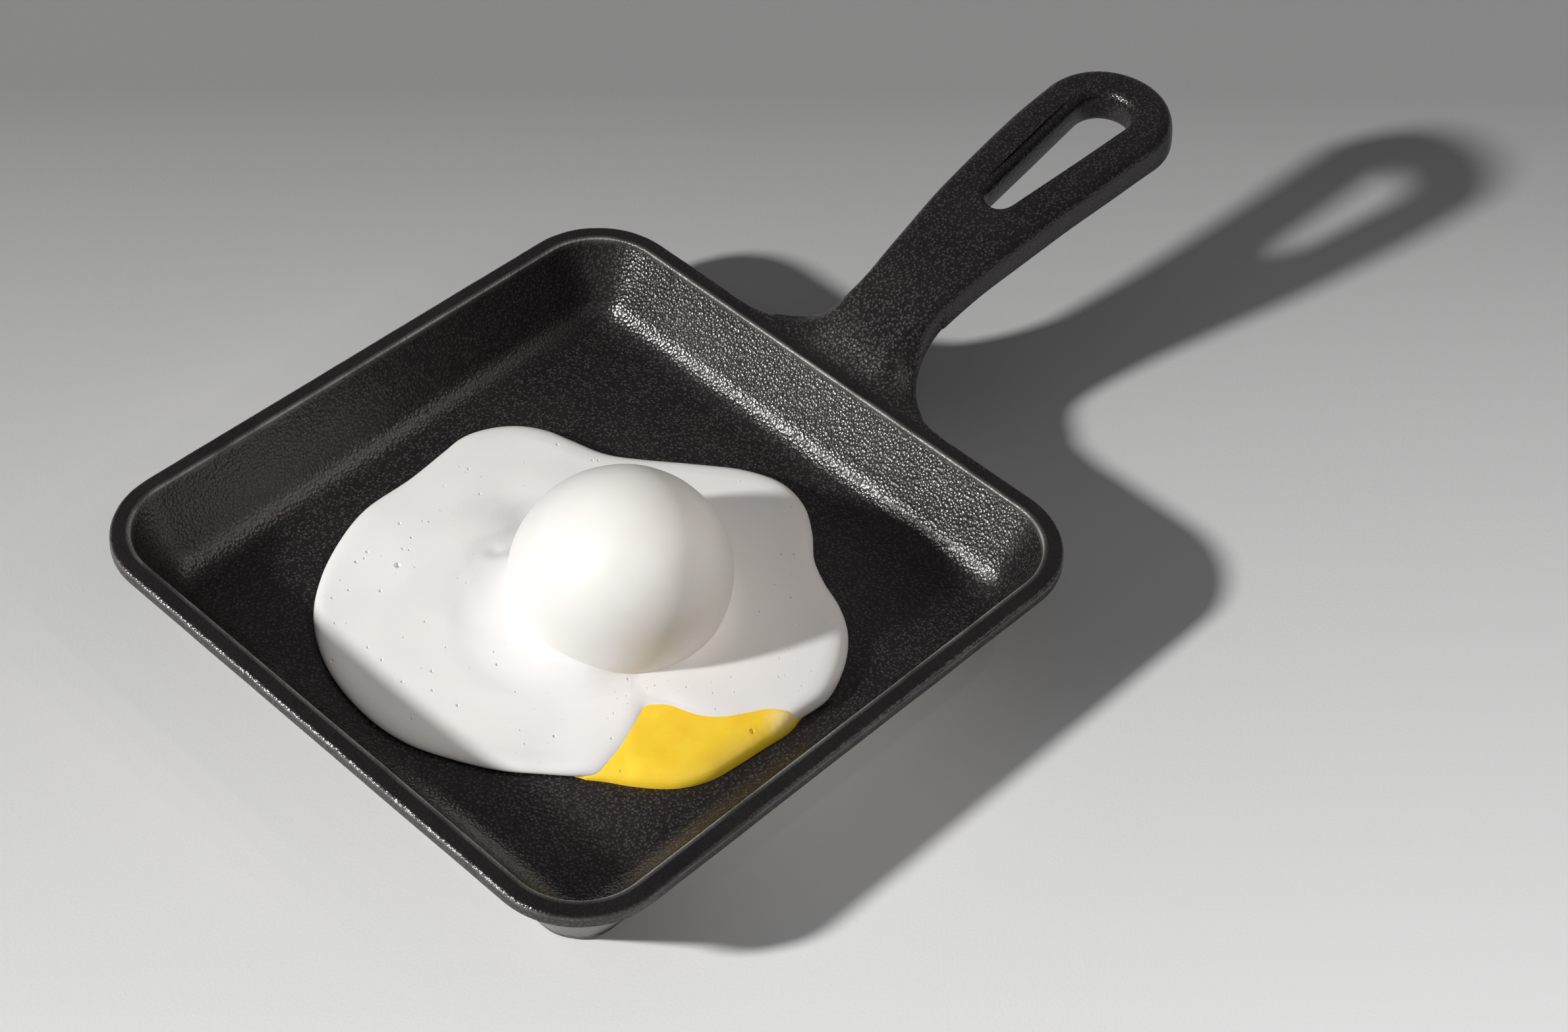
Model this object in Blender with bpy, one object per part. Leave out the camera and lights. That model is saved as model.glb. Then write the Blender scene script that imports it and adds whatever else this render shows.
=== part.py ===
"""A fried egg in its own square cast-iron skillet, as four solids.

The skillet is one casting with its handle. In it lie a poured egg white with a rounded
edge, a whole egg set into the white where the yolk would be, and a yellow yolk pool that
peeks out beside the white.

Frame: metres, +Z up, origin at the centre of the skillet's flat underside, handle along +X.
"""

import math

import bmesh
import bpy
import numpy as np
from mathutils import Matrix, Vector

MM = 0.001
WELD = 0.001 * MM
SHARP_ANGLE = math.radians(35)

# Skillet bowl. Every ring of it is a rounded square whose corner centres are the same.
RIM_HEIGHT = 17.5 * MM
RIM_HALF = 63.5 * MM
RIM_ROUNDING = 0.5 * MM
FLANGE_DEPTH = 2.5 * MM
FLANGE_PROUD = 1.1 * MM
FLANGE_FILLET = 0.3 * MM
MOUTH_HALF = 59.7 * MM
MOUTH_ROUNDING = 0.35 * MM
CORNER_CENTRE = 46.9 * MM
CORNER_STEPS = 9
BASE_HALF = 55.0 * MM
BASE_ROUNDING = 1.4 * MM
FLOOR_THICKNESS = 2.8 * MM
FLOOR_FILLET = 4.0 * MM
WALL_SLOPE = 0.507

# Handle, in plan and in its long section. Rises are of its top face above the rim, and
# half-widths are of its top edge, both against the distance from the skillet's middle.
TIP_CENTRE_X = 135.9 * MM
TIP_STEPS = 22
ROOT_START_X = 60.8 * MM
ROOT_CENTRE_X = 81.8 * MM
ROOT_FILLET = 18.5 * MM
ROOT_REACH_Y = 27.5 * MM
ROOT_END_LEAN = 0.4
RISE_KNOTS = (
    (60.8, -0.4),
    (62.6, 0.05),
    (64.5, 1.1),
    (68.0, 3.4),
    (80.0, 9.4),
    (95.0, 14.4),
    (110.0, 17.6),
    (125.0, 19.8),
    (140.0, 21.1),
    (150.0, 21.7),
)
WIDTH_KNOTS = (
    (60.8, 10.0),
    (68.0, 9.3),
    (76.0, 8.8),
    (88.0, 9.5),
    (100.0, 10.9),
    (112.0, 12.0),
    (124.0, 13.0),
    (135.9, 13.6),
)
ROOT_STATIONS = (61.7, 62.6, 63.4, 64.2, 65.2, 66.4, 67.8, 69.4, 71.2, 73.4, 76.0, 79.0, 82.0)
BODY_STATIONS = np.linspace(86.0, TIP_CENTRE_X / MM, 12)

# Handle, across: a flat top, a rounded shoulder, a drafted side down to the parting line,
# a short upright land and a bevel to the flat underside.
HANDLE_THICKNESS = 6.9 * MM
HANDLE_DRAFT = 0.3 * MM
HANDLE_ROUNDING = 3.2 * MM
SHOULDER_STEPS = 7
PARTING_RISE = 1.7 * MM
LAND_FOOT_RISE = 0.9 * MM
LEAST_LAND = 0.25 * MM
UNDER_BEVEL = (1.0 * MM, 0.75 * MM)
UNDER_INSET = 2.6 * MM
# At the root the side is a ramp that runs out on the rim. It is a steep side from here on.
RAMP_END_X = 66.0 * MM
STEEP_START_X = 75.0 * MM
RAMP_PULL = 0.45
RAMP_TOE = 0.8 * MM
RIM_COVER = 0.1 * MM
RIM_BITE = 2.2 * MM

# Hanging slot in the handle: the hull of a small and a large circle, with rounded edges.
SLOT_NEAR = (106.4 * MM, 2.8 * MM)
SLOT_FAR = (136.1 * MM, 5.5 * MM)
SLOT_ROUNDING = 1.8 * MM
SLOT_ROUNDING_STEPS = 5
SLOT_UNDER_ROUNDING = 0.5 * MM
SLOT_ARC_STEPS = 12
CUTTER_SPARE = 1.5 * MM
CUTTER_SKIM = 0.02 * MM

# Egg: a spheroid that leans towards -Y, cut flat where it is set into the white.
EGG_CENTRE = Vector((0.6, -6.9, 12.2)) * MM
EGG_HALF_WIDTH = 19.2 * MM
EGG_HALF_LENGTH = 22.6 * MM
EGG_LEAN = Vector((-0.05, -0.79, 1.0))
EGG_SEGMENTS = 48
EGG_RINGS = 28

# Egg white and yolk pool, both poured on the skillet's floor.
CLEARANCE = 0.3 * MM
POUR_Z = FLOOR_THICKNESS + CLEARANCE
WHITE_THICKNESS = 3.4 * MM
WHITE_COLLAR = 0.8 * MM
WHITE_SHOULDER = 3.2 * MM
WHITE_SKIN_UNDER_EGG = 0.9 * MM
POCKET_STEP = 0.6
POUR_STEPS = 120
YOLK_THICKNESS = 2.9 * MM
YOLK_LEAST_WIDTH = 0.9 * MM
YOLK_STEPS = 26
YOLK_END_STEPS = 3
YOLK_END_SHARE = 0.55
WHITE_OUTLINE = (
    (-47.7, 4.8), (-45.5, 17.5), (-40.0, 27.8), (-32.8, 34.4), (-24.7, 38.8), (-16.6, 41.3),
    (-5.6, 41.6), (3.2, 42.7), (8.3, 43.2), (13.4, 41.7), (17.9, 38.7), (21.0, 34.5),
    (22.7, 29.1), (24.8, 21.9), (28.6, 16.2), (34.3, 9.4), (40.5, 1.4), (43.1, -5.7),
    (42.1, -12.3), (38.3, -18.0), (33.6, -23.0), (30.6, -28.4), (28.4, -34.2), (25.0, -39.3),
    (19.2, -43.9), (12.0, -46.9), (7.2, -46.5), (2.2, -45.0), (-4.5, -40.8), (-9.5, -35.8),
    (-12.0, -31.2), (-15.0, -28.8), (-18.6, -30.1), (-23.0, -31.2), (-27.5, -32.0),
    (-31.8, -30.4), (-35.5, -25.6), (-39.5, -20.0), (-43.5, -12.5), (-46.7, -4.5),
)
YOLK_OUTLINE = (
    (-30.2, -32.4), (-29.1, -34.6), (-27.3, -37.4), (-24.6, -40.6), (-21.0, -43.8),
    (-16.0, -46.0), (-10.6, -46.8), (-4.6, -47.2), (0.8, -47.6), (3.4, -47.4),
)

# Inset from the outline and share of the thickness, from the foot of the edge to the top.
POUR_EDGE = ((0.6, 0.0), (0.12, 0.13), (0.0, 0.33), (0.25, 0.57), (0.8, 0.79), (1.7, 0.93))
# Way from the white's shoulder in to the egg, and share of the collar's height there.
COLLAR_RISE = ((0.0, 0.0), (0.5, 0.12), (0.85, 0.25), (1.0, 1.0))


def clear_scene():
    for thing in list(bpy.data.objects):
        bpy.data.objects.remove(thing, do_unlink=True)


def make_material(name, colour, roughness, metallic=0.0):
    material = bpy.data.materials.new(name)
    material.use_nodes = True
    shader = material.node_tree.nodes["Principled BSDF"]
    shader.inputs["Base Color"].default_value = (*colour, 1.0)
    shader.inputs["Roughness"].default_value = roughness
    shader.inputs["Metallic"].default_value = metallic
    return material


def add_object(name, mesh, material):
    mesh.materials.clear()
    mesh.materials.append(material)
    thing = bpy.data.objects.new(name, mesh)
    bpy.context.scene.collection.objects.link(thing)
    return thing


def shade(mesh):
    mesh.shade_smooth()
    mesh.set_sharp_from_angle(angle=SHARP_ANGLE)


def finish_mesh(name, build):
    """Merges doubled points, turns the faces outwards and splits them into triangles."""
    bmesh.ops.remove_doubles(build, verts=build.verts[:], dist=WELD)
    bmesh.ops.recalc_face_normals(build, faces=build.faces[:])
    bmesh.ops.triangulate(build, faces=build.faces[:])
    mesh = bpy.data.meshes.new(name)
    build.to_mesh(mesh)
    build.free()
    shade(mesh)
    return mesh


def mesh_from_rings(name, rings):
    """A skin over closed rings of equally many points, with the first and last ring capped."""
    build = bmesh.new()
    rows = [[build.verts.new(point) for point in ring] for ring in rings]
    count = len(rings[0])
    for low, high in zip(rows, rows[1:]):
        for i in range(count):
            j = (i + 1) % count
            build.faces.new((low[i], low[j], high[j], high[i]))
    build.faces.new(rows[0])
    build.faces.new(rows[-1])
    return finish_mesh(name, build)


def arc(centre, radius, start, end, steps):
    """(half-size, height) points round a centre, between two angles in degrees."""
    points = []
    for step in range(steps + 1):
        angle = math.radians(start + (end - start) * step / steps)
        points.append(
            (centre[0] + radius * math.cos(angle), centre[1] + radius * math.sin(angle))
        )
    return points


def smooth_curve(knots, x):
    """Cubic through (x, y) knots in millimetres, in metres, held level past its ends."""
    xs = np.array([knot[0] for knot in knots]) * MM
    ys = np.array([knot[1] for knot in knots]) * MM
    slopes = np.gradient(ys, xs)
    i = int(np.clip(np.searchsorted(xs, x) - 1, 0, len(xs) - 2))
    step = xs[i + 1] - xs[i]
    t = float(np.clip((x - xs[i]) / step, 0.0, 1.0))
    return (
        (2 * t**3 - 3 * t**2 + 1) * ys[i]
        + (t**3 - 2 * t**2 + t) * step * slopes[i]
        + (3 * t**2 - 2 * t**3) * ys[i + 1]
        + (t**3 - t**2) * step * slopes[i + 1]
    )


def rounded_square(half, z):
    """One ring of the bowl, anticlockwise from the +X side's upper end."""
    radius = half - CORNER_CENTRE
    ring = []
    for quarter in range(4):
        middle = Matrix.Rotation(quarter * math.pi / 2, 3, "Z") @ Vector(
            (CORNER_CENTRE, CORNER_CENTRE, 0)
        )
        for step in range(CORNER_STEPS):
            angle = (quarter + step / (CORNER_STEPS - 1)) * math.pi / 2
            offset = Vector((math.cos(angle), math.sin(angle), 0)) * radius
            ring.append(middle + offset + Vector((0, 0, z)))
    return ring


def bowl_profile():
    """(half-size, height) from the underside, up the outer wall, over the rim, to the floor."""
    flange_z = RIM_HEIGHT - FLANGE_DEPTH
    wall_lean = math.degrees(math.atan(WALL_SLOPE))
    wall_foot = MOUTH_HALF - WALL_SLOPE * (RIM_HEIGHT - MOUTH_ROUNDING - FLOOR_THICKNESS)
    floor_half = wall_foot - FLOOR_FILLET * math.tan(math.radians(90 - wall_lean) / 2)
    return [
        *arc((BASE_HALF - BASE_ROUNDING, BASE_ROUNDING), BASE_ROUNDING, -90, 0, 3),
        (RIM_HALF - FLANGE_PROUD, flange_z - FLANGE_FILLET),
        (RIM_HALF - FLANGE_FILLET, flange_z),
        (RIM_HALF, flange_z + FLANGE_FILLET),
        *arc((RIM_HALF - RIM_ROUNDING, RIM_HEIGHT - RIM_ROUNDING), RIM_ROUNDING, 0, 90, 3),
        *arc((MOUTH_HALF + MOUTH_ROUNDING, RIM_HEIGHT - MOUTH_ROUNDING), MOUTH_ROUNDING, 90, 180, 2),
        *arc((floor_half, FLOOR_THICKNESS + FLOOR_FILLET), FLOOR_FILLET, -wall_lean, -90, 6),
    ]


def bowl_mesh():
    return mesh_from_rings("bowl", [rounded_square(half, z) for half, z in bowl_profile()])


def handle_top(x):
    return RIM_HEIGHT + smooth_curve(RISE_KNOTS, x)


def root_half_width(x):
    """Half-width at the parting line, flared into the rim by the root fillet."""
    if x >= ROOT_CENTRE_X:
        return smooth_curve(WIDTH_KNOTS, min(x, TIP_CENTRE_X)) + HANDLE_DRAFT
    run = min(ROOT_CENTRE_X - x, ROOT_FILLET)
    return ROOT_REACH_Y - math.sqrt(ROOT_FILLET**2 - run**2)


def bezier(a, b, c, d, t):
    s = 1 - t
    return tuple(
        s**3 * a[k] + 3 * s * s * t * b[k] + 3 * s * t * t * c[k] + t**3 * d[k] for k in (0, 1)
    )


def handle_half_section(x):
    """(outward, height) points from the middle of the top to the middle of the underside."""
    top = handle_top(x)
    under = top - HANDLE_THICKNESS
    width = smooth_curve(WIDTH_KNOTS, min(x, TIP_CENTRE_X))
    widest = root_half_width(x)
    parting = min(max(RIM_HEIGHT - RIM_COVER, under + PARTING_RISE), top - RIM_COVER / 2)
    land_foot = min(max(RIM_HEIGHT - RIM_BITE, under + LAND_FOOT_RISE), parting - LEAST_LAND)
    steep = float(np.clip((x - RAMP_END_X) / (STEEP_START_X - RAMP_END_X), 0.0, 1.0))
    start = (width - HANDLE_ROUNDING, top)
    leave = (start[0] + HANDLE_ROUNDING * (0.9 - 0.1 * steep), top)
    ramp_arrive = (widest - RAMP_PULL * (widest - width) - RAMP_TOE, parting)
    steep_arrive = (width + HANDLE_DRAFT / 3, top - HANDLE_ROUNDING / 3)
    arrive = tuple(ramp_arrive[k] * (1 - steep) + steep_arrive[k] * steep for k in (0, 1))
    side = [
        bezier(start, leave, arrive, (widest, parting), step / SHOULDER_STEPS)
        for step in range(SHOULDER_STEPS + 1)
    ]
    return [
        (0.0, top),
        (start[0] / 2, top),
        *side,
        (widest, land_foot),
        (widest - UNDER_BEVEL[0], land_foot - UNDER_BEVEL[1]),
        (width - UNDER_INSET, under),
        (0.0, under),
    ]


def root_end(side):
    """The buried end, which leans with the bowl's wall so that it stays inside the metal."""
    return [
        (ROOT_START_X + ROOT_END_LEAN * (z - RIM_HEIGHT), side * q, z)
        for q, z in handle_half_section(ROOT_START_X)
    ]


def tip_ring(section, angle):
    """The half-section at the tip's centre, turned to one angle round it."""
    ring = []
    for q, z in section:
        x = TIP_CENTRE_X + q * math.cos(angle)
        ring.append((x, q * math.sin(angle), z + handle_top(x) - handle_top(TIP_CENTRE_X)))
    return ring


def handle_mesh():
    """Half-sections carried out along one side, round the tip and back along the other."""
    stations = [x * MM for x in (*ROOT_STATIONS, *BODY_STATIONS)]
    tip_section = handle_half_section(TIP_CENTRE_X)
    rings = [root_end(1)]
    rings += [[(x, q, z) for q, z in handle_half_section(x)] for x in stations]
    for step in range(1, TIP_STEPS):
        rings.append(tip_ring(tip_section, math.pi * (0.5 - step / TIP_STEPS)))
    rings += [[(x, -q, z) for q, z in handle_half_section(x)] for x in reversed(stations)]
    rings.append(root_end(-1))
    # The two half-rings at the root share their middle points and make one flat end.
    build = bmesh.new()
    rows = [[build.verts.new(point) for point in ring] for ring in rings]
    for low, high in zip(rows, rows[1:]):
        for i in range(len(low) - 1):
            build.faces.new((low[i], low[i + 1], high[i + 1], high[i]))
    build.faces.new([*rows[0], *reversed(rows[-1][1:-1])])
    return finish_mesh("handle", build)


def slot_ring(growth, depth):
    """The slot's outline grown by some distance, at a depth below the handle's top."""
    (near_x, near_r), (far_x, far_r) = SLOT_NEAR, SLOT_FAR
    swing = math.acos((near_r - far_r) / (far_x - near_x))
    ring = []
    for centre, radius, start, end in (
        (far_x, far_r, -swing, swing),
        (near_x, near_r, swing, 2 * math.pi - swing),
    ):
        for step in range(SLOT_ARC_STEPS + 1):
            angle = start + (end - start) * step / SLOT_ARC_STEPS
            x = centre + (radius + growth) * math.cos(angle)
            ring.append((x, (radius + growth) * math.sin(angle), handle_top(x) - depth))
    return ring


def slot_cutter_mesh():
    """Flares out towards the top and, less, towards the underside, as the edges are rounded."""
    layers = [(SLOT_ROUNDING, -CUTTER_SPARE)]
    for step in range(SLOT_ROUNDING_STEPS + 1):
        angle = math.pi / 2 * step / SLOT_ROUNDING_STEPS
        growth = SLOT_ROUNDING * (1 - math.sin(angle))
        layers.append((growth, max(SLOT_ROUNDING * (1 - math.cos(angle)), CUTTER_SKIM)))
    layers.append((0.0, HANDLE_THICKNESS - 2 * SLOT_UNDER_ROUNDING))
    layers.append((SLOT_UNDER_ROUNDING, HANDLE_THICKNESS - SLOT_UNDER_ROUNDING / 2))
    layers.append((2 * SLOT_UNDER_ROUNDING, HANDLE_THICKNESS + CUTTER_SPARE))
    return mesh_from_rings("slot_cutter", [slot_ring(*layer) for layer in layers])


def combine(target, tool, operation):
    """Applies one Boolean to the target's mesh and removes the tool."""
    modifier = target.modifiers.new(operation.lower(), "BOOLEAN")
    modifier.operation = operation
    modifier.solver = "EXACT"
    modifier.object = tool
    graph = bpy.context.evaluated_depsgraph_get()
    result = bpy.data.meshes.new_from_object(target.evaluated_get(graph))
    target.modifiers.clear()
    target.data = result
    bpy.data.objects.remove(tool, do_unlink=True)


def build_pan():
    iron = make_material("seasoned_cast_iron", (0.022, 0.019, 0.02), 0.5, 0.6)
    pan = add_object("pan", bowl_mesh(), iron)
    handle = add_object("handle_blank", handle_mesh(), iron)
    slot = add_object("slot_blank", slot_cutter_mesh(), iron)
    combine(handle, slot, "DIFFERENCE")
    combine(pan, handle, "UNION")
    pan.data.materials.clear()
    pan.data.materials.append(iron)
    shade(pan.data)


def egg_frame():
    """Turns the egg's own axis, its local Z, onto its lean."""
    return EGG_LEAN.normalized().to_track_quat("Z", "Y").to_matrix()


def egg_reach(angle, z, spare=0.0):
    """Distance from the egg's middle line to its surface, in one direction, at one height."""
    turn = egg_frame().transposed()
    half = (EGG_HALF_WIDTH + spare, EGG_HALF_WIDTH + spare, EGG_HALF_LENGTH + spare)
    origin = turn @ Vector((0, 0, z - EGG_CENTRE.z))
    heading = turn @ Vector((math.cos(angle), math.sin(angle), 0))
    a = sum((heading[k] / half[k]) ** 2 for k in range(3))
    b = 2 * sum(heading[k] * origin[k] / half[k] ** 2 for k in range(3))
    c = sum((origin[k] / half[k]) ** 2 for k in range(3)) - 1
    return (-b + math.sqrt(b * b - 4 * a * c)) / (2 * a)


def build_egg():
    build = bmesh.new()
    bmesh.ops.create_uvsphere(
        build, u_segments=EGG_SEGMENTS, v_segments=EGG_RINGS, radius=1.0
    )
    stretch = Matrix.Diagonal((EGG_HALF_WIDTH, EGG_HALF_WIDTH, EGG_HALF_LENGTH))
    place = (egg_frame() @ stretch).to_4x4()
    place.translation = EGG_CENTRE
    bmesh.ops.transform(build, matrix=place, verts=build.verts[:])
    foot = POUR_Z + WHITE_SKIN_UNDER_EGG + CLEARANCE
    cut = bmesh.ops.bisect_plane(
        build,
        geom=build.verts[:] + build.edges[:] + build.faces[:],
        plane_co=(0, 0, foot),
        plane_no=(0, 0, 1),
        clear_inner=True,
    )
    rim = [item for item in cut["geom_cut"] if isinstance(item, bmesh.types.BMEdge)]
    bmesh.ops.contextual_create(build, geom=rim)
    shell = make_material("eggshell", (0.9, 0.87, 0.82), 0.55)
    add_object("whole_egg", finish_mesh("egg", build), shell)


def blend(a, b, start, end, t):
    return ((end - t) * a + (t - start) * b) / (end - start)


def centripetal_point(points, knots, t):
    """The curve's point at t, by the pyramid of blends between four points and their knots."""
    p0, p1, p2, p3 = points
    t0, t1, t2, t3 = knots
    a1 = blend(p0, p1, t0, t1, t)
    a2 = blend(p1, p2, t1, t2, t)
    a3 = blend(p2, p3, t2, t3, t)
    b1 = blend(a1, a2, t0, t2, t)
    b2 = blend(a2, a3, t1, t3, t)
    return blend(b1, b2, t1, t2, t)


def spline_through(points, closed):
    """Dense centripetal curve through the points of an outline, in metres."""
    pts = [np.array(point) * MM for point in points]
    if closed:
        pts = [pts[-1], *pts, pts[0], pts[1]]
    else:
        pts = [2 * pts[0] - pts[1], *pts, 2 * pts[-1] - pts[-2]]
    dense = []
    for i in range(len(pts) - 3):
        four = pts[i : i + 4]
        knots = [0.0]
        for a, b in zip(four, four[1:]):
            knots.append(knots[-1] + math.sqrt(float(np.linalg.norm(b - a))))
        for t in np.linspace(knots[1], knots[2], 12, endpoint=False):
            dense.append(centripetal_point(four, knots, t))
    if not closed:
        dense.append(pts[-2])
    return np.array(dense)


class Outline:
    """A pour's outline as its distance from the egg's middle line, by direction."""

    def __init__(self, points, closed):
        dense = spline_through(points, closed) - np.array(EGG_CENTRE.xy)
        angles = np.arctan2(dense[:, 1], dense[:, 0]) % (2 * math.pi)
        order = np.argsort(angles)
        self.angles = angles[order]
        self.reaches = np.hypot(dense[:, 0], dense[:, 1])[order]

    def reach(self, angle):
        return float(
            np.interp(angle % (2 * math.pi), self.angles, self.reaches, period=2 * math.pi)
        )

    def inset(self, angle, distance):
        """Reach after moving in by a distance measured square to the outline."""
        step = 0.02
        slope = (self.reach(angle + step) - self.reach(angle - step)) / (2 * step)
        squareness = math.cos(math.atan(slope / self.reach(angle)))
        return self.reach(angle) - distance / max(squareness, 0.6)


def around(reach, angle, z):
    return (
        EGG_CENTRE.x + reach * math.cos(angle),
        EGG_CENTRE.y + reach * math.sin(angle),
        z,
    )


def build_white(outline):
    """Rings from the rounded edge in to the egg, then down the pocket that the egg stands in."""
    angles = [2 * math.pi * i / POUR_STEPS for i in range(POUR_STEPS)]
    top_z = POUR_Z + WHITE_THICKNESS
    rings = []
    for inset, share in POUR_EDGE:
        z = POUR_Z + share * WHITE_THICKNESS
        rings.append([around(outline.inset(a, inset * MM), a, z) for a in angles])
    collar = [egg_reach(a, top_z + WHITE_COLLAR, CLEARANCE) for a in angles]
    shoulder = [outline.inset(a, WHITE_SHOULDER) for a in angles]
    for way, height in COLLAR_RISE:
        z = top_z + height * WHITE_COLLAR
        rings.append(
            [
                around(out + way * (into - out), a, z)
                for a, out, into in zip(angles, shoulder, collar)
            ]
        )
    for z in (POUR_Z + POCKET_STEP * WHITE_THICKNESS, POUR_Z + WHITE_SKIN_UNDER_EGG):
        rings.append([around(egg_reach(a, z, CLEARANCE), a, z) for a in angles])
    white = make_material("set_egg_white", (0.8, 0.79, 0.77), 0.6)
    add_object("egg_white", mesh_from_rings("egg_white", rings), white)


def white_edge_inset(z):
    """How far in from its outline the white's rounded edge is, at a height over its foot."""
    insets, shares = zip(*POUR_EDGE)
    return float(np.interp(z / WHITE_THICKNESS, shares, insets)) * MM


def yolk_ring(angle, height, white_outline, yolk_outline):
    """Up along the white's edge, just clear of it, and down the pool's own rounded edge."""
    ring = []
    for _, share in (*POUR_EDGE[:-1], (0.0, 1.0)):
        z = share * height
        ring.append((white_outline.inset(angle, white_edge_inset(z) - CLEARANCE), z))
    inner = max(reach for reach, z in ring)
    outer = max(yolk_outline.reach(angle), inner + YOLK_LEAST_WIDTH)
    for inset, share in reversed(POUR_EDGE):
        ring.append((outer - min(inset * MM, 0.45 * (outer - inner)), share * height))
    return [around(reach, angle, POUR_Z + z) for reach, z in ring]


def direction_of(point):
    return math.atan2(point[1] * MM - EGG_CENTRE.y, point[0] * MM - EGG_CENTRE.x)


def build_yolk(white_outline, yolk_outline):
    """A band of the pour that follows the white's edge inside and its own outline outside."""
    first = direction_of(YOLK_OUTLINE[0])
    last = direction_of(YOLK_OUTLINE[-1])
    rings = []
    for step in range(YOLK_STEPS + 1):
        angle = first + (last - first) * step / YOLK_STEPS
        from_end = min(step, YOLK_STEPS - step, YOLK_END_STEPS) / YOLK_END_STEPS
        height = YOLK_THICKNESS * (YOLK_END_SHARE + (1 - YOLK_END_SHARE) * from_end)
        rings.append(yolk_ring(angle, height, white_outline, yolk_outline))
    yellow = make_material("yolk_yellow", (0.9, 0.6, 0.04), 0.35)
    add_object("yolk_pool", mesh_from_rings("yolk_pool", rings), yellow)


def main():
    clear_scene()
    white_outline = Outline(WHITE_OUTLINE, closed=True)
    yolk_outline = Outline(YOLK_OUTLINE, closed=False)
    build_pan()
    build_egg()
    build_white(white_outline)
    build_yolk(white_outline, yolk_outline)


main()
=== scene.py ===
# %% [markdown]
# # A fried egg in its own square skillet
#
# The object is a small square cast-iron skillet with a playful fried egg in it: a matte
# poured white, a whole pale egg standing in it, and a yolk pool that shows at its side.
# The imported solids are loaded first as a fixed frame. Each of them is then replaced by a
# finer piece made from the same named sizes, so nothing moves and nothing changes size.

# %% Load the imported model
import math

import bmesh
import bpy
import numpy as np
from mathutils import Matrix, Vector, kdtree, noise
from mathutils.bvhtree import BVHTree


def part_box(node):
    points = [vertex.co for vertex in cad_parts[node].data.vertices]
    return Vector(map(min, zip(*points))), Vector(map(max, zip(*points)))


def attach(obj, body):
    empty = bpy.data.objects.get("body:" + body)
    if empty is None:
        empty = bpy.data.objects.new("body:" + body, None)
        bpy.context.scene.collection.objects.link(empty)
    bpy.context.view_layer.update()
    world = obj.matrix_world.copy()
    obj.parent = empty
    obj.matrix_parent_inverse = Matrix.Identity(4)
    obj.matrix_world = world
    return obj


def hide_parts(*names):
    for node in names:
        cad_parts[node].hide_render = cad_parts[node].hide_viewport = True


MM = 0.001
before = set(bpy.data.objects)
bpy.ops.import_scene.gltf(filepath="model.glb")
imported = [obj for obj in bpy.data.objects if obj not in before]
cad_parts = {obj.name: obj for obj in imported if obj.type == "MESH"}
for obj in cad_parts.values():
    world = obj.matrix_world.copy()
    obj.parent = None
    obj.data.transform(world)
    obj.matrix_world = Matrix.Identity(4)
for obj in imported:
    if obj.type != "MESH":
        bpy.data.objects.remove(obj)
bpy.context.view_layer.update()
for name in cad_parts:
    low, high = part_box(name)
    print(name, "measures", [round((b - a) / MM, 1) for a, b in zip(low, high)], "mm")

# %% [markdown]
# ## The camera
#
# The picture was taken from about 45 degrees up, with the handle pointing away to the
# right. The view was solved from the skillet's square rim, so it is given as a direction, a
# distance and a roll round the line of sight. The same values also turn a pixel of the
# picture into a place on the food, which is how single pinholes are put where they belong.

# %% Place the camera
PHOTO_SIZE = (2380, 1567)
FOCAL_PIXELS = 4664.9
SENSOR_WIDTH = 36.0
CAMERA_AZIMUTH = math.radians(-48.99)
CAMERA_ELEVATION = math.radians(45.50)
CAMERA_ROLL = math.radians(4.08)
CAMERA_DISTANCE = 540.1 * MM
CAMERA_TARGET = Vector((27.88, -19.97, 17.5)) * MM


def camera_axes():
    """The camera's right, up and backward directions."""
    back = Vector(
        (
            math.sin(CAMERA_AZIMUTH) * math.cos(CAMERA_ELEVATION),
            -math.cos(CAMERA_AZIMUTH) * math.cos(CAMERA_ELEVATION),
            math.sin(CAMERA_ELEVATION),
        )
    )
    level = Vector((math.cos(CAMERA_AZIMUTH), math.sin(CAMERA_AZIMUTH), 0))
    upright = back.cross(level)
    right = math.cos(CAMERA_ROLL) * level + math.sin(CAMERA_ROLL) * upright
    up = math.cos(CAMERA_ROLL) * upright - math.sin(CAMERA_ROLL) * level
    return right, up, back


def seen_at(pixel, height):
    """The point at one height that a pixel of the picture shows."""
    right, up, back = camera_axes()
    across = (pixel[0] - PHOTO_SIZE[0] / 2) / FOCAL_PIXELS
    upwards = (PHOTO_SIZE[1] / 2 - pixel[1]) / FOCAL_PIXELS
    ray = across * right + upwards * up - back
    eye = CAMERA_TARGET + CAMERA_DISTANCE * back
    return eye + ray * ((height - eye.z) / ray.z)


right, up, back = camera_axes()
camera_data = bpy.data.cameras.new("view")
camera_data.sensor_width = SENSOR_WIDTH
camera_data.lens = SENSOR_WIDTH * FOCAL_PIXELS / PHOTO_SIZE[0]
camera = bpy.data.objects.new("view", camera_data)
camera.matrix_world = Matrix((right, up, back)).transposed().to_4x4()
camera.matrix_world.translation = CAMERA_TARGET + CAMERA_DISTANCE * back
bpy.context.scene.collection.objects.link(camera)
bpy.context.scene.camera = camera
print("lens", round(camera_data.lens, 2), "mm, floor point under the middle of the picture",
      [round(c / MM, 1) for c in seen_at((PHOTO_SIZE[0] / 2, PHOTO_SIZE[1] / 2), 0.0)])

# %% [markdown]
# ## Small helpers for node trees
#
# Materials and node trees are easier to read when a node, its settings and its inputs are
# written as one call. An input is given either a plain value or the socket of another node.
# The sums, ranges, colour mixes and bumps that every finish needs get a short call each.

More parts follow.
